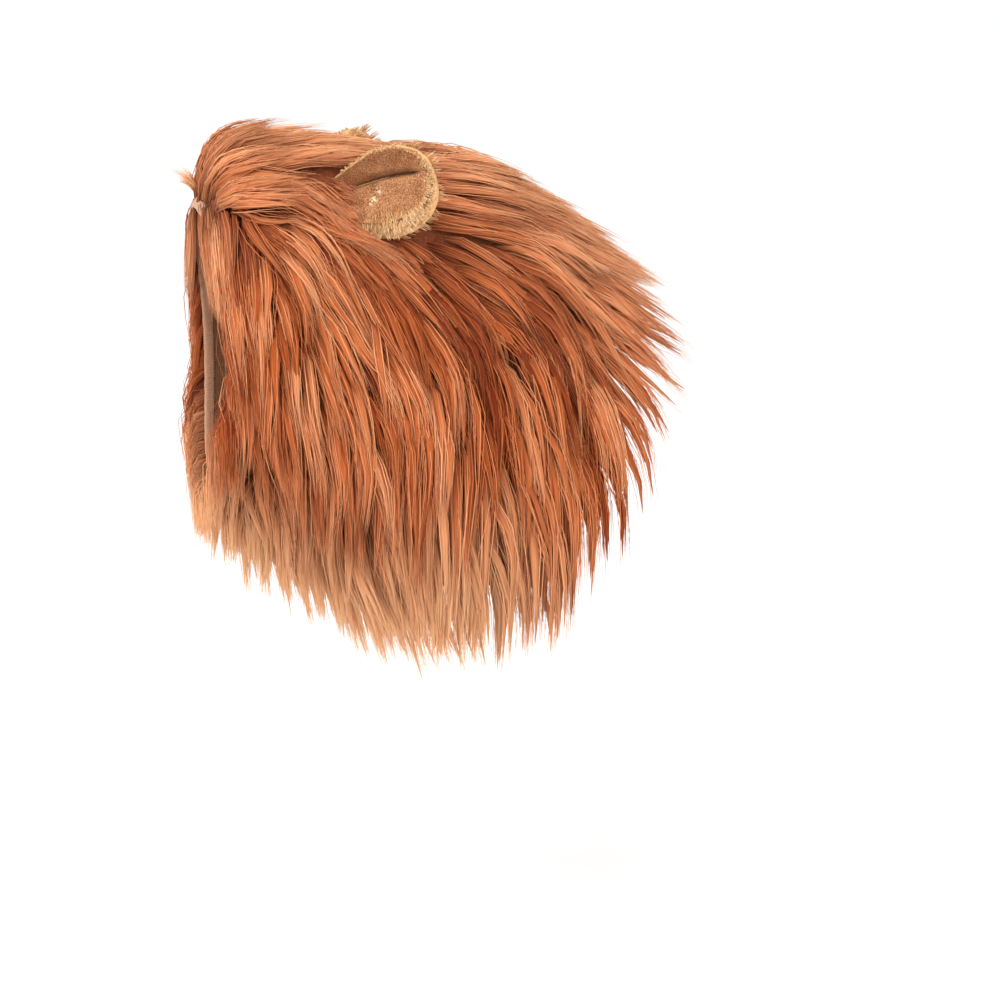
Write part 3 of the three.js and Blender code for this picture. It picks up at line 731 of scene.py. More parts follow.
def turned_hem(hood):
    """The knit turned over and sewn down: finer ribs across the edge, painted paler on their tops and
    darker between them, as light and shade.
    """
    material, tree, surface = new_material("turned_knit_hem")
    cloth = add(tree, "ShaderNodeUVMap", uv_map="cloth")
    # Ribs 1.4 mm apart.
    ribs = add(tree, WAVES, {"Vector": cloth, "Scale": bands(1.4), "Distortion": 1.5},
               bands_direction="X").outputs["Fac"]
    fuzz = add(tree, NOISE, {"Vector": cloth, "Scale": 260.0, "Detail": 3.0})
    height = add(tree, MATH, (fuzz, 0.6, ribs), operation="MULTIPLY_ADD")
    # Painted light and shade: the colour follows the ribs' height, paler on their tops and darker in the
    # grooves.
    rubbed_and_rib_light = add(tree, MATH, (height, 0.75), operation="MULTIPLY")
    shown = add(tree, MIX, {0: rubbed_and_rib_light, 6: darker(hood.hem, 0.62), 7: hood.hem},
                data_type="RGBA").outputs[2]
    bump = add(tree, "ShaderNodeBump", {"Height": height, "Distance": 0.0005, "Strength": 0.8})
    plug(tree, surface, {"Base Color": shown, "Normal": bump, "Roughness": 0.9, "Sheen Weight": 0.25})
    return material


def ear_velour(ear):
    """Curled polyester velour: a short looped nap, so it is matt and mottled loop by loop, darker above
    its fold where the nap stands up, painted darkest in the fold as the shadow of its upper lip, and rubbed
    pale in a few spots."""
    material, tree, surface = new_material("curled_nap_velour")
    place = add(tree, "ShaderNodeTexCoord").outputs["Object"]
    told = {name: add(tree, ATTRIBUTE, attribute_name=name).outputs["Fac"]
            for name in ("fold", "raised", "rubbed_and_rib_light")}
    # Loops 1 mm apart, in brushed patches of 12 mm.
    loops = add(tree, NOISE, {"Vector": place, "Scale": grains(1), "Detail": 1.0, "Roughness": 0.5})
    patches = add(tree, NOISE, {"Vector": place, "Scale": grains(12), "Detail": 2.0})
    mottle = add(tree, MATH, (patches, 0.35, loops), operation="MULTIPLY_ADD")
    ramp = add(tree, "ShaderNodeValToRGB", (mottle,))
    stops = ramp.color_ramp.elements
    stops[0].position, stops[0].color = 0.5, darker(ear.velour, 0.42)
    stops[1].position, stops[1].color = 0.86, ear.nap
    stops.new(0.67).color = ear.velour
    raised = add(tree, MATH, (told["raised"], 0.42), operation="MULTIPLY")
    upper = add(tree, MIX, {0: raised, 6: ramp, 7: linear("#6B3A1E")}, data_type="RGBA").outputs[2]
    # Rubbed loops lie in streaks 2.2 mm apart.
    streaks = add(tree, NOISE, {"Vector": place, "Scale": grains(2.2), "Detail": 1.0})
    mark = add(tree, RANGE, (streaks, 0.46, 0.54, 0.0, 1.0))
    rubbed_and_rib_light = add(tree, MATH, (mark, told["rubbed_and_rib_light"]), operation="MULTIPLY")
    marked = add(tree, MIX, {0: rubbed_and_rib_light, 6: upper, 7: linear("#F7DDB4")}, data_type="RGBA").outputs[2]
    # Painted shade: the fold is coloured nearly black, as the shadow that the upper part casts into it.
    folded = add(tree, MATH, (told["fold"], 0.9), operation="MULTIPLY")
    shown = add(tree, MIX, {0: folded, 6: marked, 7: darker(ear.velour, 0.1)},
                data_type="RGBA").outputs[2]
    bump = add(tree, "ShaderNodeBump", {"Height": mottle, "Distance": 0.0012, "Strength": 0.9})
    plug(tree, surface, {"Base Color": shown, "Normal": bump, "Roughness": 0.95,
                         "Specular IOR Level": 0.2, "Sheen Weight": 0.3, "Sheen Roughness": 0.45,
                         "Sheen Tint": ear.nap})
    return material


def ear_plush(ear):
    """Sheared plush of fine crimped fibres: rough and soft, cream at the tufts' cut ends and brown towards
    their roots, darkened there partly as painted shade between the tufts."""
    material, tree, surface = new_material("sheared_plush")
    place = add(tree, "ShaderNodeTexCoord").outputs["Object"]
    told = {name: add(tree, ATTRIBUTE, attribute_name=name).outputs["Fac"]
            for name in ("root_to_tip", "lock_tone_and_shade", "strand_tone_and_depth_light")}
    # Tufts 3 mm apart.
    tufts = add(tree, NOISE, {"Vector": place, "Scale": grains(3), "Detail": 3.0})
    tone = add(tree, MATH, (tufts, 0.2), operation="MULTIPLY")
    tone = add(tree, MATH, (told["strand_tone_and_depth_light"], 0.22, tone), operation="MULTIPLY_ADD")
    tone = add(tree, MATH, (told["lock_tone_and_shade"], 0.28, tone), operation="MULTIPLY_ADD")
    # Partly painted shade: the tufts darken towards their roots.
    tone = add(tree, MATH, (told["root_to_tip"], 0.42, tone), operation="MULTIPLY_ADD")
    ramp = add(tree, "ShaderNodeValToRGB", (tone,))
    stops = ramp.color_ramp.elements
    stops[0].position, stops[0].color = 0.1, darker(ear.plush, 0.3)
    stops[1].position, stops[1].color = 0.85, ear.cream
    stops.new(0.42).color = ear.plush
    bump = add(tree, "ShaderNodeBump", {"Height": tufts, "Distance": 0.002, "Strength": 0.8})
    plug(tree, surface, {"Base Color": ramp, "Normal": bump, "Roughness": 0.85,
                         "Specular IOR Level": 0.2})
    return material


def sewing_thread(hood):
    """Spun polyester sewing thread: twisted, with a dull glint."""
    material, tree, surface = new_material("spun_polyester_thread")
    place = add(tree, "ShaderNodeTexCoord").outputs["Object"]
    # Twist 0.55 mm apart.
    twist = add(tree, NOISE, {"Vector": place, "Scale": grains(0.55), "Detail": 1.0})
    shown = add(tree, MIX, {0: twist, 6: darker(hood.thread, 0.6), 7: hood.thread},
                data_type="RGBA").outputs[2]
    plug(tree, surface, {"Base Color": shown, "Roughness": 0.6})
    return material


def studio_floor():
    """Matt white paper sweep."""
    material, tree, surface = new_material("matt_paper_floor")
    place = add(tree, "ShaderNodeTexCoord").outputs["Object"]
    grain = add(tree, NOISE, {"Vector": place, "Scale": 3.0, "Detail": 2.0})
    paper = add(tree, MIX, {0: grain, 6: linear("#FDFDFD"), 7: linear("#FFFFFF")},
                data_type="RGBA").outputs[2]
    plug(tree, surface, {"Base Color": paper, "Roughness": 0.9, "Specular IOR Level": 0.0})
    return material


def ear_frame():
    """The left ear's root in millimetres, and the ways along it, out of its face and up across it."""
    root = hood_point(EAR_SEAT_SHARE, EAR_ANGLE, CLOTH_WALL)[0]
    axis = unit(np.array(EAR_LEAN))
    facing = np.array(EAR_FACING)
    facing = unit(unit(facing) - axis * dot(unit(facing), axis))
    return root, axis, facing, -np.cross(axis, facing)


def ear_half(at):
    """Half width of the ear's outline, rounded between the rows of its table."""
    knots = np.stack([EAR_OUTLINE["at"], EAR_OUTLINE["half"]], 1)
    fine = np.interp(at, knots[:, 0], knots[:, 1])
    near = sum(np.interp(at + d, knots[:, 0], knots[:, 1]) for d in (-0.04, -0.02, 0.02, 0.04)) / 4
    return np.where(at < 0.97, (fine + near) / 2, fine)


def past_fold(at, across):
    """How far above the face's fold a place lies, as a share of the half width. The fold slants down from
    the base to the tip."""
    return across - FOLD_AT_BASE + FOLD_SLANT * at


def fold_share(at, across, width):
    """1 in the face's fold and 0 a width away from it and at its ends."""
    ends = smoothstep(at, -0.05, 0.12) * (1 - smoothstep(at, 0.78, 0.97))
    return np.exp(-((past_fold(at, across) / width) ** 2)) * ends


def ear_point(at, across, depth, rim_low=0.0, rim_high=0.0):
    """Points of the left ear: at from base to tip, across from the lower edge (-1) to the upper (1)."""
    root, axis, facing, width = ear_frame()
    at, across, depth = np.broadcast_arrays(at, across, depth)
    bowl = np.sin(np.pi * (0.3 + 0.7 * at)) * (1 - across ** 2)
    lip = smoothstep(past_fold(at, across), 0, 0.14) * (1 - smoothstep(across, 0.5, 1.0))
    edge = rim_low + (rim_high - rim_low) * (1 + across) / 2
    half = ear_half(at) * EAR_WIDTH / 2 + edge
    reach = at * EAR_LENGTH + rim_high * np.maximum(0, 2 * at - 1)
    back = EAR_CUP * bowl + EAR_CREASE * fold_share(at, across, 0.085) - FOLD_LIP * lip * (at > 0) + depth
    return (root + axis * reach[..., None] + width * (across * half)[..., None] - facing * back[..., None])


def hood_place(points, station, angle):
    """Station, angle and lift of points near a place on the hood."""
    station, angle = np.full(len(points), float(station)), np.full(len(points), float(angle))
    lift = np.full(len(points), CLOTH_WALL)
    for _ in range(8):
        at = hood_frame(station, angle, lift)
        gap = points - at["here"]
        across = np.cross(at["round"], at["rise"])
        size = dot(at["rear"], across)
        station = station + (dot(gap, across) / size)[:, 0]
        angle = angle + (dot(gap, np.cross(at["rise"], at["rear"])) / size)[:, 0]
        lift = lift + (dot(gap, np.cross(at["rear"], at["round"])) / size)[:, 0]
    return station, angle, lift


def off_the_cloth(points, clear):
    """Moves points that would lie inside the cloth out to its surface."""
    flat = points.reshape(-1, 3)
    station, angle, lift = hood_place(flat, EAR_SEAT_SHARE, EAR_ANGLE)
    held = hood_point(station, angle, np.maximum(lift, CLOTH_WALL + clear))
    return np.where((lift < CLOTH_WALL + clear)[:, None], held, flat).reshape(points.shape)


def mirrored(points):
    """Points or directions moved to the wearer's other side."""
    return points * np.array([-1, 1, 1])


def ear_coordinates(points):
    """Where points are in the frame of the ear on their side: along it, across it as a share of the half
    width, and in front of its face."""
    own = points * np.where(points[..., :1] < 0, np.array([-1, 1, 1]), 1)
    root, axis, facing, width = ear_frame()
    gap = own - root
    at = gap @ axis / EAR_LENGTH
    half = ear_half(np.clip(at, 0, 1)) * EAR_WIDTH / 2
    return at, gap @ width / half, gap @ facing


def by_an_ear(points):
    """1 where the pile is cut short for an ear, and 0 away from it."""
    at, across, front = ear_coordinates(points)
    along = smoothstep(at, -0.12, 0.1) * (1 - smoothstep(at, 0.95, 1.2))
    sideways = smoothstep(across, -1.75, -1.35) * (1 - smoothstep(across, 0.95, 1.3))
    return along * sideways * smoothstep(front, -30, -18)


def part_round_ears(lines):
    """Parts the hair round the ears. A line that would cross the view of a face bends past it, and one
    with no room for that ends at its edge. Gives the lines and the share of each that is used."""
    side = np.where(lines[:, :1, :1] < 0, -1.0, 1.0)
    turn = np.concatenate([side, np.ones_like(side), np.ones_like(side)], 2)
    width = ear_frame()[3] * turn
    steps = np.arange(lines.shape[1])[None]

    def crossing(moved):
        """Where points lie on the ear, and which of them hide its face."""
        at, across, front = ear_coordinates(moved)
        inside = (at > EAR_HAIR_LINE) & (at < 1.07) & (across > -1.42) & (across < 1.12)
        return at, across, inside & (front > -20) & (front < 44)

    at, across, inside = crossing(lines)
    entry = np.where(inside.any(1), inside.argmax(1), lines.shape[1])
    first = np.minimum(entry, lines.shape[1] - 1)
    goes_over = across[np.arange(len(lines)), first] > 0.8
    goal = np.where(goes_over[:, None], 1.14, -1.46)
    half = ear_half(np.clip(at, 0, 1)) * EAR_WIDTH / 2
    short = np.where(inside, (goal - across) * half, 0)
    worst = np.abs(short).argmax(1)
    needed = short[np.arange(len(lines)), worst]
    room = np.interp(entry, (2, 4, 8, 14), (0, 10, 20, 30))
    needed = np.clip(needed, -room, room)
    bend = smoothstep(steps / np.maximum(worst, 1)[:, None], 0.0, 1.0) * needed[:, None]
    moved = lines + bend[..., None] * width
    inside = crossing(moved)[2]
    used = np.where(inside.any(1), inside.argmax(1) / STEPS, 1.0)
    return moved, used


def spread_roots(count, seed, low=0.012, high=0.985):
    """Roots spread evenly over the cloth, as stations and angles."""
    stations = np.linspace(low, high, 48)
    angles = np.linspace(-180, 180, 97)
    grid_s, grid_a = np.meshgrid(stations, angles, indexing="ij")
    at = hood_frame(grid_s.ravel(), grid_a.ravel(), np.full(grid_s.size, CLOTH_WALL))
    area = np.linalg.norm(np.cross(at["rear"], at["round"]), axis=1).reshape(grid_s.shape)
    golden = 1.32471795724474602596  # the plastic ratio, whose powers spread points evenly
    number = np.arange(count) + 1 + seed
    first, second = (number / golden) % 1, (number / golden ** 2) % 1
    along = np.cumsum(area.sum(1))
    along = (along - along[0]) / (along[-1] - along[0])
    station = np.interp(first, along, stations)
    row = np.clip(np.searchsorted(stations, station), 0, len(stations) - 1)
    angle = np.empty(count)
    for r in range(len(stations)):
        chosen = row == r
        round_ = np.cumsum(area[r])
        round_ = (round_ - round_[0]) / (round_[-1] - round_[0])
        angle[chosen] = np.interp(second[chosen], round_, angles)
    return station, angle


def row_of_roots(station, count, seed, reach=180):
    """A row of roots round the hood, out to an angle on both sides."""
    random = np.random.default_rng(seed)
    angle = -reach + (np.arange(count) + random.uniform(0.1, 0.9, count)) * 2 * reach / count
    return np.clip(station + random.uniform(-0.006, 0.006, count), -0.02, 0.994), angle


def extra_roots(count, seed, stations, angles):
    """More roots in a patch on both sides, where the hair parts or is cut short and covers less."""
    random = np.random.default_rng(seed)
    side = np.where(np.arange(count) % 2, -1, 1)
    return random.uniform(*stations, count), random.uniform(*angles, count) * side


def swirl(station, angle):
    """Lean of the hair in degrees, the same for neighbours, as brushing leaves it."""
    turn = np.sin(station * 11 + angle * 0.045) + np.sin(angle * 0.083 - station * 17 + 1.3)
    return 4.0 * turn + 3.0 * np.sin(angle * 0.21 + station * 31)


def patch(value, middle, width):
    """1 at a middle, falling off smoothly over a width."""
    return np.exp(-(((value - middle) / width) ** 2))


def painted_pale_light_at(station, angle, tips):
    """How much paler the hair is painted, as painted light: most in the fringe, where light shines through
    its thin ends, and under the chin, then on the lit crown and forehead.
    """
    round_ = np.abs(angle)
    fringe = smoothstep(0.3 * np.clip(-tips[:, 1], 0, 150) - tips[:, 2], 325, 420)
    fringe = fringe * (1 - 0.7 * smoothstep(tips[:, 1], 40, 150))
    jaw = smoothstep(round_, 100, 145) * patch(station, 0, 0.42)
    crown = patch(angle, 0, 36) * (1 - 0.5 * patch(station, 0.08, 0.16))
    return np.clip(0.72 * crown + 0.95 * fringe + 0.7 * jaw, 0, 1)


def shade_at(station, angle):
    """Darker patches: painted shade under the ears, where the ears shade the hair, and by the forehead,
    where the gaps between locks lie in shade; and darker on the shoulder.
    """
    round_ = np.abs(angle)
    return (0.15 * patch(station, 0.5, 0.16) * patch(round_, 62, 16)
            + 0.14 * patch(station, 0.13, 0.1) * patch(round_, 48, 14)
            + 0.1 * smoothstep(station, 0.55, 0.85) * patch(round_, 104, 26))


def grown(random, station, angle, height, spare, curl):
    """Lines of hair from their roots, with the way out of the hood at each point. height is the least and
    most share of the coat, spare the share that a lock may be shorter, curl its spread in degrees."""
    count = len(station)
    round_, side = np.abs(angle), np.sign(angle)
    chin = 1 + (CHIN_SHARE - 1) * chin_at(station, angle)
    length = LOCK_LENGTH * np.interp(station, LENGTH_AT["station"], LENGTH_AT["length"]) * chin
    rear = smoothstep(station, 0.45, 0.85) * smoothstep(round_, 15, 60)
    length = length * (1 + REAR_GROWTH * smoothstep(station, 0.45, 0.75) * patch(round_, 106, 30))
    length = length * random.uniform(1 - spare * (1 - 0.7 * rear), 1.06 + 0.24 * rear, count)
    arch = patch(station, 0, 0.09) * patch(round_, 50, 15) * side * random.uniform(16, 40, count)
    arch = arch * (station > -0.01) - side * 15 * patch(station, 0.15, 0.11) * patch(round_, 42, 16)
    stray = random.uniform(0, 1, count) < STRAY_SHARE
    lean = swirl(station, angle) + random.normal(0, 3, count) + arch + stray * random.normal(0, 11, count)
    fall = (FALL_CURL + REAR_CURL * rear) * np.sin(np.radians(angle)) ** 2 * smoothstep(station, 0.1, 0.5)
    curls = random.normal(0, curl, count) - 1.5 * np.maximum(arch * side, 0) * side
    curls = curls - fall * side * (round_ < 130)
    sway = random.uniform(3, 11, count)
    phase = station * 14 + np.radians(angle) * 3.1 + random.normal(0, 0.9, count)
    cheek = CHEEK_FLARE * patch(station, 0, 0.05) * patch(round_, 82, 34)
    edge = EDGE_FLARE * patch(station, 0, 0.03) * (1 - smoothstep(round_, 60, 120))
    jaw = JAW_FLARE * patch(station, 0, 0.1) * patch(round_, 122, 24)
    forward = (cheek + edge + jaw) * random.uniform(0.5, 1.2, count)
    loft = coat_height(station, angle) * height * (1 + 0.3 * stray)
    return comb(station, angle, length, loft, lean, curls, sway, phase, forward)


def tuft_lines(start, heading, droop, length):
    """Short lines from their roots, bent towards droop by their tips."""
    along = np.linspace(0, 1, STEPS + 1)[None, :, None]
    bent = unit(heading)[:, None] * along + droop * along ** 2
    return start[:, None] + bent * length[:, None, None]


def forelock(random):
    """A pale tuft at the middle of the forehead that flicks forward and up."""
    count = 9
    root = hood_point(random.uniform(0.0, 0.012, count), random.uniform(-20, -2, count), CLOTH_WALL + 3)
    across, ahead, up = random.normal(-0.1, 0.16, count), random.normal(0.42, 0.12, count), np.ones(count)
    length = random.uniform(18, 29, count)
    return tuft_lines(root, np.stack([across, -ahead, up], 1), np.array([0, -0.35, -0.25]), length)


def trimmed(random, lines, used):
    """Ends the locks that would hang well below the lower edge of the mane, each at its own height."""
    edge = np.interp(lines[..., 1], LOWER_EDGE["y"], LOWER_EDGE["z"])
    below = lines[..., 2] < edge + random.normal(-3, 9, len(lines))[:, None]
    below[:, :7] = False
    return np.where(below.any(1), np.minimum(used, below.argmax(1) / STEPS), used)


def make_guides(coat):
    """Guide lines of all the small locks, each leaning into its nearest big lock."""
    random = np.random.default_rng(coat.seed)
    rows = [spread_roots(coat.gathers, coat.seed), row_of_roots(0.012, 46, coat.seed + 1),
            row_of_roots(0.96, 40, coat.seed + 4)]
    parent_s, parent_a = (np.concatenate(part) for part in zip(*rows))
    rows = [spread_roots(coat.locks, coat.seed + 100), row_of_roots(-0.006, 200, coat.seed + 2),
            row_of_roots(0.035, 60, coat.seed + 5, 75), row_of_roots(0.975, 150, coat.seed + 3)]
    rows += [extra_roots(count, coat.seed + seed, stations, angles)
             for count, seed, stations, angles in EXTRA_ROOTS]
    station, angle = (np.concatenate(part) for part in zip(*rows))
    parents, _ = grown(random, parent_s, parent_a, random.uniform(0.75, 1.0, len(parent_s)), 0.06, 7.0)
    height = random.uniform(0.2, 1.0, len(station))
    lines, outs = grown(random, station, angle, height, 0.26, 6.0)
    nearest = ((lines[:, 4, None] - parents[None, :, 4]) ** 2).sum(-1).argmin(1)
    along = np.linspace(0, 1, STEPS + 1)
    pull = (0.78 * smoothstep(along, 0.18, 1.0))[None, :, None]
    strength = random.uniform(0.25, 1.0, len(parents))[nearest] * random.uniform(0.6, 1.0, len(lines))
    strength = strength * (1 - 0.45 * smoothstep(station, 0.5, 0.85))
    lines = lines + (parents[nearest] - lines) * pull * strength[:, None, None]
    lines, used = part_round_ears(lines)
    used = trimmed(random, lines, used)
    # Tone of each lock: its big lock's and its own, drawn at random, with painted shade on the locks that
    # lie low in the coat and in the patches of shade_at.
    tone = 0.5 * random.uniform(0, 1, len(parents))[nearest]
    tone = tone + 0.22 * random.uniform(0, 1, len(lines)) + 0.04 + 0.26 * height
    tone = tone - shade_at(station, angle)
    kept = used > 0.1
    flick = forelock(random)
    count = len(flick)
    guides = {
        "lines": np.concatenate([lines[kept], flick]),
        "outs": np.concatenate([outs[kept], np.broadcast_to((0.0, 0.0, 1.0), flick.shape)]),
        "station": np.append(station[kept], np.zeros(count)),
        "angle": np.append(angle[kept], np.zeros(count)),
        "used": np.append(used[kept], np.ones(count)),
        "lock_tone_and_shade": np.append(tone[kept], random.uniform(0.4, 0.9, count)),
        "lock_size": np.append(random.uniform(0.7, 1.25, kept.sum()), np.full(count, 0.3)),
        "painted_pale_light": np.append(painted_pale_light_at(station, angle, lines[:, -1])[kept], np.full(count, 1.0)),
    }
    return with_sides(guides)


def with_sides(guides):
    """Adds the way across and the way above each guide, which its strands spread over."""
    heading = unit(np.gradient(guides["lines"], axis=1))
    guides["across"] = unit(np.cross(heading, guides["outs"]))
    guides["above"] = unit(np.cross(guides["across"], heading))
    return guides


def reader(guides, places):
    """A function that reads the guides' values at places given as shares of their used length."""
    at = places[None] * guides["used"][:, None] * STEPS
    low = np.minimum(at.astype(int), STEPS - 1)
    part = (at - low)[..., None]
    rows = np.arange(len(low))[:, None]
    return lambda values: values[rows, low] * (1 - part) + values[rows, low + 1] * part


def guide_object(name, guides, chosen):
    """The chosen guides as loose lines with what the trees and materials read."""
    own = {key: values[chosen] for key, values in guides.items()}
    count = len(own["lines"])
    if not count:
        raise RuntimeError(f"{name} has no guides")
    read = reader(own, np.linspace(0, 1, GUIDE_POINTS))
    index = np.arange(count * GUIDE_POINTS).reshape(count, GUIDE_POINTS)
    edges = np.stack([index[:, :-1], index[:, 1:]], -1).reshape(-1, 2)
    made = mesh_object(name, read(own["lines"]).reshape(-1, 3), edges=edges.tolist())
    for key in ("across", "above"):
        layer = made.data.attributes.new(key, "FLOAT_VECTOR", "POINT")
        layer.data.foreach_set("vector", read(own[key]).ravel())
    for key in ("lock_tone_and_shade", "lock_size", "painted_pale_light"):
        tell(made, key, np.repeat(own[key], GUIDE_POINTS))
    return made


def undercoat(guides, spread, depth):
    """A flattened body inside every lock, drawn out to a point, with what its material reads."""
    read = reader(guides, BODY_PLACES)
    middle, across, above = (read(guides[key]) for key in ("lines", "across", "above"))
    girth = BODY_GIRTH[None] * guides["lock_size"][:, None]
    turn = np.arange(BODY_SIDES) * 2 * math.pi / BODY_SIDES
    sideways = across[:, :, None] * np.cos(turn)[:, None] * spread
    upwards = above[:, :, None] * np.sin(turn)[:, None] * depth - above[:, :, None] * depth * 0.35
    points = middle[:, :, None] + (sideways + upwards) * girth[..., None, None]
    grid = points.shape[:3]
    index = np.arange(math.prod(grid)).reshape(grid)
    ahead = np.roll(index, -1, 2)
    walls = np.stack([index[:, :-1], ahead[:, :-1], ahead[:, 1:], index[:, 1:]], -1).reshape(-1, 4)
    ends = np.concatenate([index[:, 0, ::-1], index[:, -1]]).tolist()
    made = mesh_object("undercoat", points.reshape(-1, 3), walls.tolist() + ends)
    values = {
        "root_to_tip": BODY_PLACES[None, :, None],
        "round_lock": 0.5 - 0.5 * np.cos(turn)[None, None],
        # Painted shade: the body is toned darker than its lock's strands, as it lies in the shade inside
        # the lock.
        "lock_tone_and_shade": guides["lock_tone_and_shade"][:, None, None] - 0.17,
        "painted_pale_light": guides["painted_pale_light"][:, None, None],
    }
    for name, value in values.items():
        tell(made, name, np.broadcast_to(value, grid))
    return face_outwards(made)


def zones(guides):
    """The pieces that the fur is made in, by where the roots are."""
    station, angle = guides["station"], guides["angle"]
    round_ = np.abs(angle)
    ahead = station <= SHOULDER_FROM
    low = (round_ > THROAT_FROM) & ((round_ > THROAT_FROM_REAR) | ahead)
    high = (round_ > CROWN_PANEL_ANGLE) & ~low
    return {
        "crown_locks": round_ <= CROWN_PANEL_ANGLE,
        "left_side_locks": high & (angle > 0) & ahead,
        "right_side_locks": high & (angle < 0) & ahead,
        "left_shoulder_locks": high & (angle > 0) & ~ahead,
        "right_shoulder_locks": high & (angle < 0) & ~ahead,
        "left_throat_locks": low & (angle > 0),
        "right_throat_locks": low & (angle <= 0),
    }


def settle(made, slot, *nodes):
    """The piece rides on the part's one body and stands for these nodes of the model."""
    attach(made, "root")
    if nodes:
        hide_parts(*nodes)
    return made


class MANE_OT_stage(bpy.types.Operator):
    """Makes the camera, the lights, the white surround and the floor"""
    bl_idname = "mane.stage"
    bl_label = "Stage"

    def execute(self, context):
        stage = context.scene.mane_stage
        scene = context.scene
        azimuth, elevation = math.radians(VIEW_AZIMUTH), math.radians(VIEW_ELEVATION)
        back = Vector((math.sin(azimuth) * math.cos(elevation), -math.cos(azimuth) * math.cos(elevation),
                       math.sin(elevation)))
        right = Vector((math.cos(azimuth), math.sin(azimuth), 0))
        up = back.cross(right)
        camera = bpy.data.objects.new("camera", bpy.data.cameras.new("camera"))
        scene.collection.objects.link(camera)
        camera.data.lens, camera.data.sensor_width = LENS, SENSOR
        camera.location = right * VIEW_RIGHT + up * VIEW_UP + back * stage.away
        camera.rotation_mode = "QUATERNION"
        camera.rotation_quaternion = Matrix((right, up, back)).transposed().to_quaternion()
        camera.data.clip_start, camera.data.clip_end = 0.05, 100
        scene.camera = camera
        corners = np.array([[-1, -1, 0], [1, -1, 0], [1, 1, 0], [-1, 1, 0]])
        floor = mesh_object("floor", corners * FLOOR_HALF / MM, [(0, 1, 2, 3)])
        floor.location.z = stage.floor
        finish_mesh(floor, studio_floor(), False)
        world = bpy.data.worlds.new("surround")
        scene.world = world
        world.use_nodes = True
        light = world.node_tree.nodes["Background"]
        light.inputs["Color"].default_value = (1, 1, 1, 1)
        light.inputs["Strength"].default_value = stage.sky
        for name, (place, size, power) in LAMPS.items():
            lamp = bpy.data.lights.new(name, "AREA")
            lamp.size, lamp.energy = size, stage.key * power
            made = bpy.data.objects.new(name, lamp)
            made.location = place
            made.rotation_mode = "QUATERNION"
            made.rotation_quaternion = (Vector(LIT_SPOT) - Vector(place)).to_track_quat("-Z", "Y")
            scene.collection.objects.link(made)
        scene.view_settings.view_transform = "Standard"
        return {"FINISHED"}


def run(points, axis):
    """How far each point of a grid lies along its row or column."""
    steps = np.linalg.norm(np.diff(points, axis=axis), axis=2)
    return np.concatenate([np.zeros_like(steps.take([0], axis)), np.cumsum(steps, axis)], axis)


def cloth_grid(first, last, rows, columns, lift, low=0.0, high=1.0):
    """A grid of points over the hood between two angles and two stations, with their places on the flat
    cloth."""
    stations, angles = np.linspace(low, high, rows), np.linspace(first, last, columns)
    grid_s, grid_a = np.meshgrid(stations, angles, indexing="ij")
    lifts = np.broadcast_to(lift, grid_s.shape)
    points = hood_point(grid_s.ravel(), grid_a.ravel(), lifts.ravel()).reshape(rows, columns, 3)
    around = run(points, 1)
    around -= around[:, columns // 2:columns // 2 + 1]
    return points, np.stack([around, run(points, 0)], -1) * MM


def edge_frame(end, count, is_closed=False):
    """Angles round the face edge (0) or neck edge (1) of the hood, how the cloth's middle lies there, and
    the way on past the edge."""
    angle = np.linspace(-180, 180, count, endpoint=not is_closed)
    at = hood_frame(np.full(count, float(end)), angle, np.full(count, CLOTH_WALL / 2))
    return angle, at, unit(at["rear"]) * (1 if end else -1)


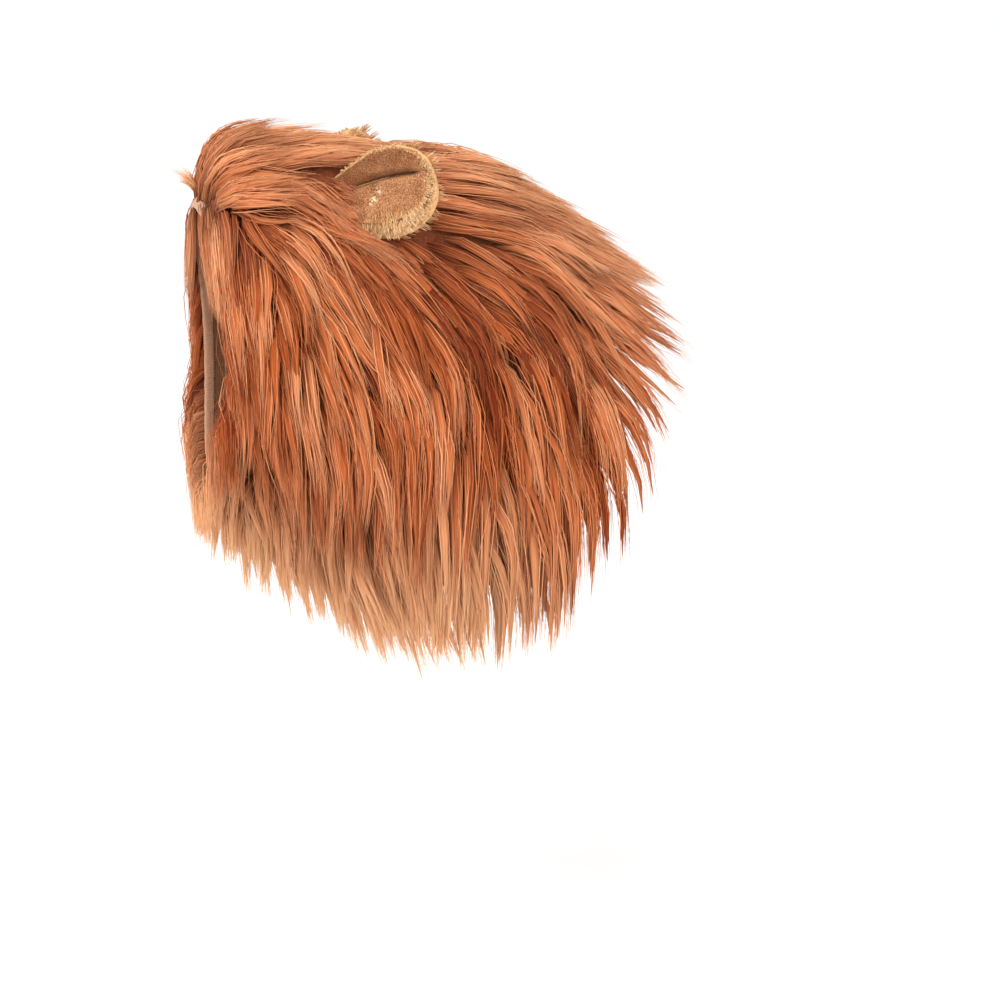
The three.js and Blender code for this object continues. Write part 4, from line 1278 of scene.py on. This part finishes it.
class MANE_OT_backing(bpy.types.Operator):
    """Makes the three knitted panels of the hood and the turned hems"""
    bl_idname = "mane.backing"
    bl_label = "Backing and hems"

    def execute(self, context):
        hood = context.scene.mane_hood
        knit = knitted_backing(hood)
        seam = 0.25  # degrees left open on each side of a seam
        panels = (("crown_backing", "crown_panel", -CROWN_PANEL_ANGLE + seam, CROWN_PANEL_ANGLE - seam, 26),
                  ("left_backing", "left_side_panel", CROWN_PANEL_ANGLE + seam, 179.8, 50),
                  ("right_backing", "right_side_panel", -179.8, -CROWN_PANEL_ANGLE - seam, 50))
        for name, node, first, last, columns in panels:
            outer, places = cloth_grid(first, last, 44, columns, CLOTH_WALL - 0.05)
            inner, _ = cloth_grid(first, last, 44, columns, 0.05)
            made = finish_mesh(shell(name, outer, inner, places=places), knit)
            settle(made, "backing", node)
        hem = turned_hem(hood)
        for name, node, end in (("face_edge", "face_hem", 0), ("neck_edge", "neck_hem", 1)):
            made = finish_mesh(self.edge(name, end), hem)
            settle(made, "hem", node)
        return {"FINISHED"}

    @staticmethod
    def cut_of(grid):
        """Width and length of the rectangle that a panel is cut from, and the panel's area, in metres."""
        across, along = np.diff(grid, axis=1), np.diff(grid, axis=0)
        wide = np.linalg.norm(across, axis=2).sum(1).max()
        long = np.linalg.norm(along, axis=2).sum(0).max()
        area = np.linalg.norm(np.cross(across[:-1], along[:, :-1]), axis=2).sum()
        return (float(wide), float(long)), float(area)

    @staticmethod
    def edge(name, end):
        """A turned hem, padded round its edge, puckered a little by its stitches."""
        columns = 240
        angle, at, past = edge_frame(end, columns, is_closed=True)
        turn = np.radians(angle)
        pucker = 1 + 0.02 * np.sin(36 * turn) + 0.012 * np.sin(61 * turn + 1)
        around = np.cumsum(np.append(0, np.linalg.norm(np.diff(at["here"], axis=0), axis=1)))
        sections, places = [], []
        for reach, above in HEM_PROFILE:
            rise = at["out"] * (above * HEM_HALF * pucker)[:, None]
            sections.append(at["here"] + past * (reach * pucker)[:, None] + rise)
            places.append(np.stack([around, np.full(columns, reach + 4 * above)], -1) * MM)
        rows = len(sections)
        index = np.arange(rows * columns).reshape(rows, columns)
        index = np.concatenate([index, index[:1]])
        index = np.concatenate([index, index[:, :1]], 1)
        quads = np.stack([index[:-1, :-1], index[:-1, 1:], index[1:, 1:], index[1:, :-1]], -1)
        made = mesh_object(name, np.concatenate(sections), quads.reshape(-1, 4).tolist())
        lay_cloth(made, np.concatenate(places))
        return face_outwards(made)


def stitches_tree():
    """Lays one capped stitch after another along a line."""
    tree, start, end = new_tree("stitches", [
        ("Stitch", "NodeSocketFloat", 0.003), ("Gap", "NodeSocketFloat", 0.3),
        ("Thread", "NodeSocketFloat", 0.0003), ("Material", "NodeSocketMaterial", None)])
    given = start.outputs
    curves = add(tree, "GeometryNodeMeshToCurve", (given["Geometry"],))
    even = add(tree, "GeometryNodeCurveToPoints", {"Curve": curves, "Length": given["Stitch"]},
               mode="LENGTH")
    filled = add(tree, MATH, (1.0, given["Gap"]), operation="SUBTRACT")
    half = add(tree, MATH, (given["Stitch"], filled), operation="MULTIPLY")
    half = add(tree, MATH, (half, 0.5), operation="MULTIPLY")
    ball = add(tree, "GeometryNodeMeshUVSphere", {"Segments": 4, "Rings": 3, "Radius": 1.0})
    scale = add(tree, "ShaderNodeCombineXYZ", (given["Thread"], given["Thread"], half))
    bead = add(tree, "GeometryNodeTransform", {"Geometry": ball, "Scale": scale})
    laid = add(tree, "GeometryNodeInstanceOnPoints", {
        "Points": even, "Instance": bead, "Rotation": even.outputs["Rotation"]})
    real = add(tree, "GeometryNodeRealizeInstances", {"Geometry": laid})
    painted = add(tree, "GeometryNodeSetMaterial", {"Geometry": real, "Material": given["Material"]})
    plug(tree, end, (painted,))
    return tree


class MANE_OT_stitches(bpy.types.Operator):
    """Sews the seams between the panels and the two hems with a row of stitches each"""
    bl_idname = "mane.stitches"
    bl_label = "Stitches"

    def execute(self, context):
        hood = context.scene.mane_hood
        lines = []
        for angle in (-CROWN_PANEL_ANGLE, CROWN_PANEL_ANGLE, 180):
            for side in (-SEAM_STITCHES_AT, SEAM_STITCHES_AT):
                station = np.linspace(0.004, 0.996, 90)
                at = hood_frame(station, np.full(90, float(angle)), np.zeros(90))
                lines.append(at["here"] + unit(at["round"]) * side - at["out"] * 0.05)
        for end in (0, 1):
            _, at, past = edge_frame(end, 300)
            for side in (-1, 1):
                rise = at["out"] * (HEM_HALF * 1.02 * side)
                lines.append(at["here"] + past * HEM_STITCHES_AT + rise)
        points = np.concatenate(lines)
        edges, first = [], 0
        for line in lines:
            edges += [(first + i, first + i + 1) for i in range(len(line) - 1)]
            first += len(line)
        made = mesh_object("seam_stitches", points, edges=edges)
        bake_tree(made, stitches_tree(), {
            "Stitch": hood.stitch, "Gap": STITCH_GAP, "Thread": THREAD_RADIUS,
            "Material": sewing_thread(hood)})
        settle(finish_mesh(made), "hem")
        return {"FINISHED"}


class MANE_OT_coat(bpy.types.Operator):
    """Makes the foot of the pile, the body inside each lock and the strands of all locks"""
    bl_idname = "mane.coat"
    bl_label = "Fur"

    def execute(self, context):
        coat = context.scene.mane_coat
        random = np.random.default_rng(coat.seed + 5)

        def layer(lift):
            """One side of the pile's foot, at a height over the cloth."""
            return cloth_grid(-180, 176.4, 50, 100, CLOTH_WALL + lift, 0.008, 0.992)[0]

        deep = PILE_MAT - 6.6 * by_an_ear(layer(0))
        outer, inner = layer(deep), layer(0.1)
        outer = outer + random.uniform(-0.6, 0.4, outer.shape) * (deep / PILE_MAT)[..., None]
        foot = finish_mesh(shell("pile_foot", outer, inner, is_ring=True), pile_foot(coat))
        settle(foot, "fur", *FUR_NODES.values())
        guides = make_guides(coat)
        under = undercoat(guides, coat.spread / MM * 0.66, coat.depth / MM * 0.6)
        settle(finish_mesh(under, under_pile(coat)), "fur", *FUR_NODES.values())
        strands, fibre = strands_tree(), long_pile(coat)
        for number, (name, chosen) in enumerate(zones(guides).items()):
            made = guide_object(name, guides, chosen)
            bake_tree(made, strands, {
                "Strands": coat.fibres, "Spread": coat.spread, "Depth": coat.depth,
                "Gather": coat.gather, "Wave": coat.wave, "Radius": coat.fibre, "Shortest": 0.8,
                "Points": 6, "Seed": coat.seed + 100 * number, "Material": fibre})
            settle(finish_mesh(made), "fur", FUR_NODES[name.split("_")[0]])
        return {"FINISHED"}


def plush_guides(ear):
    """Guide lines of the left ear's plush: the long brush along the lower rim, the short pile round the tip
    and the upper rim, and the pile of the back."""
    random = np.random.default_rng(23)
    _, axis, facing, width = ear_frame()
    brush, rim, tip = (round(ear.tufts * part) for part in (0.4, 0.13, 0.2))
    back = ear.tufts - brush - rim - tip
    groups = []

    def group(start, heading, droop, length, tone, size):
        """Adds one group of tufts, with their tones drawn between two ends."""
        count = len(start)
        lines = tuft_lines(start, heading + random.normal(0, 0.13, (count, 3)), droop, length)
        facing_out = np.broadcast_to(facing, lines.shape)
        groups.append((lines, facing_out, random.uniform(*tone, count), np.full(count, float(size))))

    def fan(turn, up, lift):
        """Headings that turn from an edge towards the tip, with a lift off the face."""
        return width * (up * np.cos(turn))[:, None] + axis * np.sin(turn)[:, None] + facing * lift

    at = random.uniform(-0.1, 1.0, brush)
    share_of = random.uniform(0, 1, brush) ** 0.75
    inner = np.minimum(BRUSH_AT_BASE + BRUSH_SLANT * at, 0.97)
    across = -(inner + (1 - inner) * np.minimum(share_of / 0.55, 1))
    beyond = np.maximum(share_of - 0.55, 0) / 0.45 * EAR_RIM_LOW * 0.85
    start = ear_point(at, across, np.maximum(beyond - 8, 0) * 0.7 - 0.3, rim_low=beyond)
    length = ear.brush / MM * (1 - 0.5 * smoothstep(at, 0.7, 1)) * random.uniform(0.75, 1.15, brush)
    length = length * (1 - 0.55 * share_of)
    group(start, fan(-0.35 + 1.5 * at ** 2, -1, 0.42), -facing * 0.3, length, (0.3, 1.0), 1)

    at = random.uniform(0.08, 1.0, rim)
    beyond = random.uniform(0, EAR_RIM_HIGH, rim)
    start = ear_point(at, random.uniform(0.97, 1.0, rim), beyond * 0.2, 0.0, beyond)
    length = random.uniform(1.2, 2.4, rim)
    group(start, fan(-0.5 + 1.6 * at ** 2, 1, 0.5), np.zeros(3), length, (0.0, 0.6), 0.35)

    across = random.uniform(-1, 0.7, tip)
    beyond = random.uniform(0.1, 1.0, tip) * EAR_RIM_LOW
    is_low = across < -0.6
    at = np.where(is_low, random.uniform(0.62, 1.0, tip), random.uniform(0.9, 1.0, tip))
    start = ear_point(at, np.where(is_low, -1.0, across), np.maximum(beyond - 8, 0) * 0.7 - 0.2,
                      beyond, EAR_RIM_HIGH)
    heading = axis + width * across[:, None] * 0.6 + facing * 0.5
    group(start, heading, np.zeros(3), random.uniform(2.5, 4.5, tip), (0.4, 1.0), 0.8)

    at, across = random.uniform(0.03, 1.0, back), random.uniform(-1, 1, back)
    edge = EAR_RIM_LOW * (1 - across) / 2 + EAR_RIM_HIGH * (1 + across) / 2
    start = ear_point(at, across, EAR_FACE_WALL + EAR_BACK_WALL - 1.2, EAR_RIM_LOW, EAR_RIM_HIGH)
    heading = -facing * 0.8 + axis * 0.5 + width * (across * (0.4 + edge / 20))[:, None]
    length = ear.pile / MM * random.uniform(0.7, 1.15, back)
    group(start, heading, axis * 0.25, length, (0.1, 0.8), 1.5)
    lines, outs, tones, sizes = (np.concatenate(part) for part in zip(*groups))
    count = len(lines)
    return {"lines": lines, "outs": outs, "used": np.ones(count), "lock_tone_and_shade": tones, "lock_size": sizes,
            "painted_pale_light": np.zeros(count)}


class MANE_OT_ears(bpy.types.Operator):
    """Makes both ears: velour faces, plush backs and the plush's tufts"""
    bl_idname = "mane.ears"
    bl_label = "Ears"

    def execute(self, context):
        ear = context.scene.mane_ear
        velour, plush, strands = ear_velour(ear), ear_plush(ear), strands_tree()
        face, back, tufts = self.face(), self.back(), plush_guides(ear)
        for side, turn in (("left", lambda p: p), ("right", mirrored)):
            made = shell(f"{side}_ear_face", turn(face[0]), turn(face[1]))
            for name, values in face[2].items():
                tell(made, name, np.tile(values.ravel(), 2))
            settle(finish_mesh(made, velour), "velour", f"{side}_ear_front")
            made = shell(f"{side}_ear_plush", turn(back[0]), turn(back[1]))
            for name, value in (("root_to_tip", 0.5), ("lock_tone_and_shade", 0.35), ("strand_tone_and_depth_light", 0.4)):
                tell(made, name, np.full(len(made.data.vertices), value))
            settle(finish_mesh(made, plush), "plush", f"{side}_ear_back")
            own = with_sides({**tufts, "lines": turn(tufts["lines"]), "outs": turn(tufts["outs"])})
            made = guide_object(f"{side}_ear_tufts", own, np.ones(len(own["lines"]), bool))
            bake_tree(made, strands, {
                "Strands": 4, "Spread": 0.0015, "Depth": 0.0012, "Gather": 0.35, "Wave": 0.0004,
                "Radius": 0.00034, "Shortest": 0.75, "Points": 4, "Seed": 3, "Material": plush})
            settle(finish_mesh(made), "plush")
        return {"FINISHED"}

    @staticmethod
    def face():
        """The face's front and back, and where it is folded, raised and rubbed."""
        rows, columns = 44, 61
        at, across = np.meshgrid(np.linspace(-0.12, 1, rows), np.linspace(-1, 1, columns), indexing="ij")
        front = ear_point(at, across, 0.0)
        behind = ear_point(at, across, float(EAR_FACE_WALL))
        looks = {
            "fold": fold_share(at, across, 0.06),
            "raised": smoothstep(past_fold(at, across), 0.0, 0.12),
            "rubbed_and_rib_light": sum(patch(at, a, 0.035) * patch(across, c, 0.11) for a, c in RUBBED_SPOTS),
        }
        return off_the_cloth(front, 0.9), off_the_cloth(behind, 0.5), looks

    @staticmethod
    def back():
        """The outer and inner side of the plush, which rolls round the edge of the face cloth."""
        rows, columns = 44, 49
        at, across = np.meshgrid(np.linspace(-0.13, 1, rows), np.linspace(-1, 1, columns), indexing="ij")
        gap = EAR_FACE_WALL + EAR_SEAM_GAP
        half = ear_half(at) * EAR_WIDTH / 2
        edge = EAR_RIM_LOW + (EAR_RIM_HIGH - EAR_RIM_LOW) * (1 + across) / 2
        beyond = np.abs(across) * (half + edge) - half
        rise = smoothstep(beyond, 0.3, 2.5)
        round_off = smoothstep(beyond, np.maximum(edge - 4, 0.5), edge)
        inner_depth = gap - 2 * rise + round_off * 3.2
        outer_depth = gap + EAR_BACK_WALL - round_off * 2.2
        inner = ear_point(at, across, inner_depth, EAR_RIM_LOW, EAR_RIM_HIGH)
        outer = ear_point(at, across, outer_depth, EAR_RIM_LOW, EAR_RIM_HIGH)
        return off_the_cloth(outer, 0.5), off_the_cloth(inner, 0.4)


class MANE_PT_panel(bpy.types.Panel):
    """Lists the makers and their settings"""
    bl_idname = "MANE_PT_panel"
    bl_label = "Lion Mane Wig"
    bl_space_type = "VIEW_3D"
    bl_region_type = "UI"
    bl_category = "Mane"

    def draw(self, context):
        for operator, group in MAKERS:
            self.layout.operator(operator)
            settings = getattr(context.scene, group)
            for name in settings.__annotations__:
                self.layout.prop(settings, name)


MAKERS = (("mane.stage", "mane_stage"), ("mane.backing", "mane_hood"), ("mane.stitches", "mane_hood"),
          ("mane.coat", "mane_coat"), ("mane.ears", "mane_ear"))
GROUPS = {"mane_coat": CoatSettings, "mane_hood": HoodSettings, "mane_ear": EarSettings,
          "mane_stage": StageSettings}
CLASSES = (*GROUPS.values(), MANE_OT_stage, MANE_OT_backing, MANE_OT_stitches, MANE_OT_coat, MANE_OT_ears,
           MANE_PT_panel)


def register():
    for made in CLASSES:
        bpy.utils.register_class(made)
    for name, group in GROUPS.items():
        setattr(bpy.types.Scene, name, bpy.props.PointerProperty(type=group))


def unregister():
    for name in GROUPS:
        delattr(bpy.types.Scene, name)
    for made in reversed(CLASSES):
        bpy.utils.unregister_class(made)


def main():
    register()
    bpy.ops.mane.stage()
    bpy.ops.mane.backing()
    bpy.ops.mane.stitches()
    bpy.ops.mane.coat()
    bpy.ops.mane.ears()


if __name__ == "__main__":
    main()
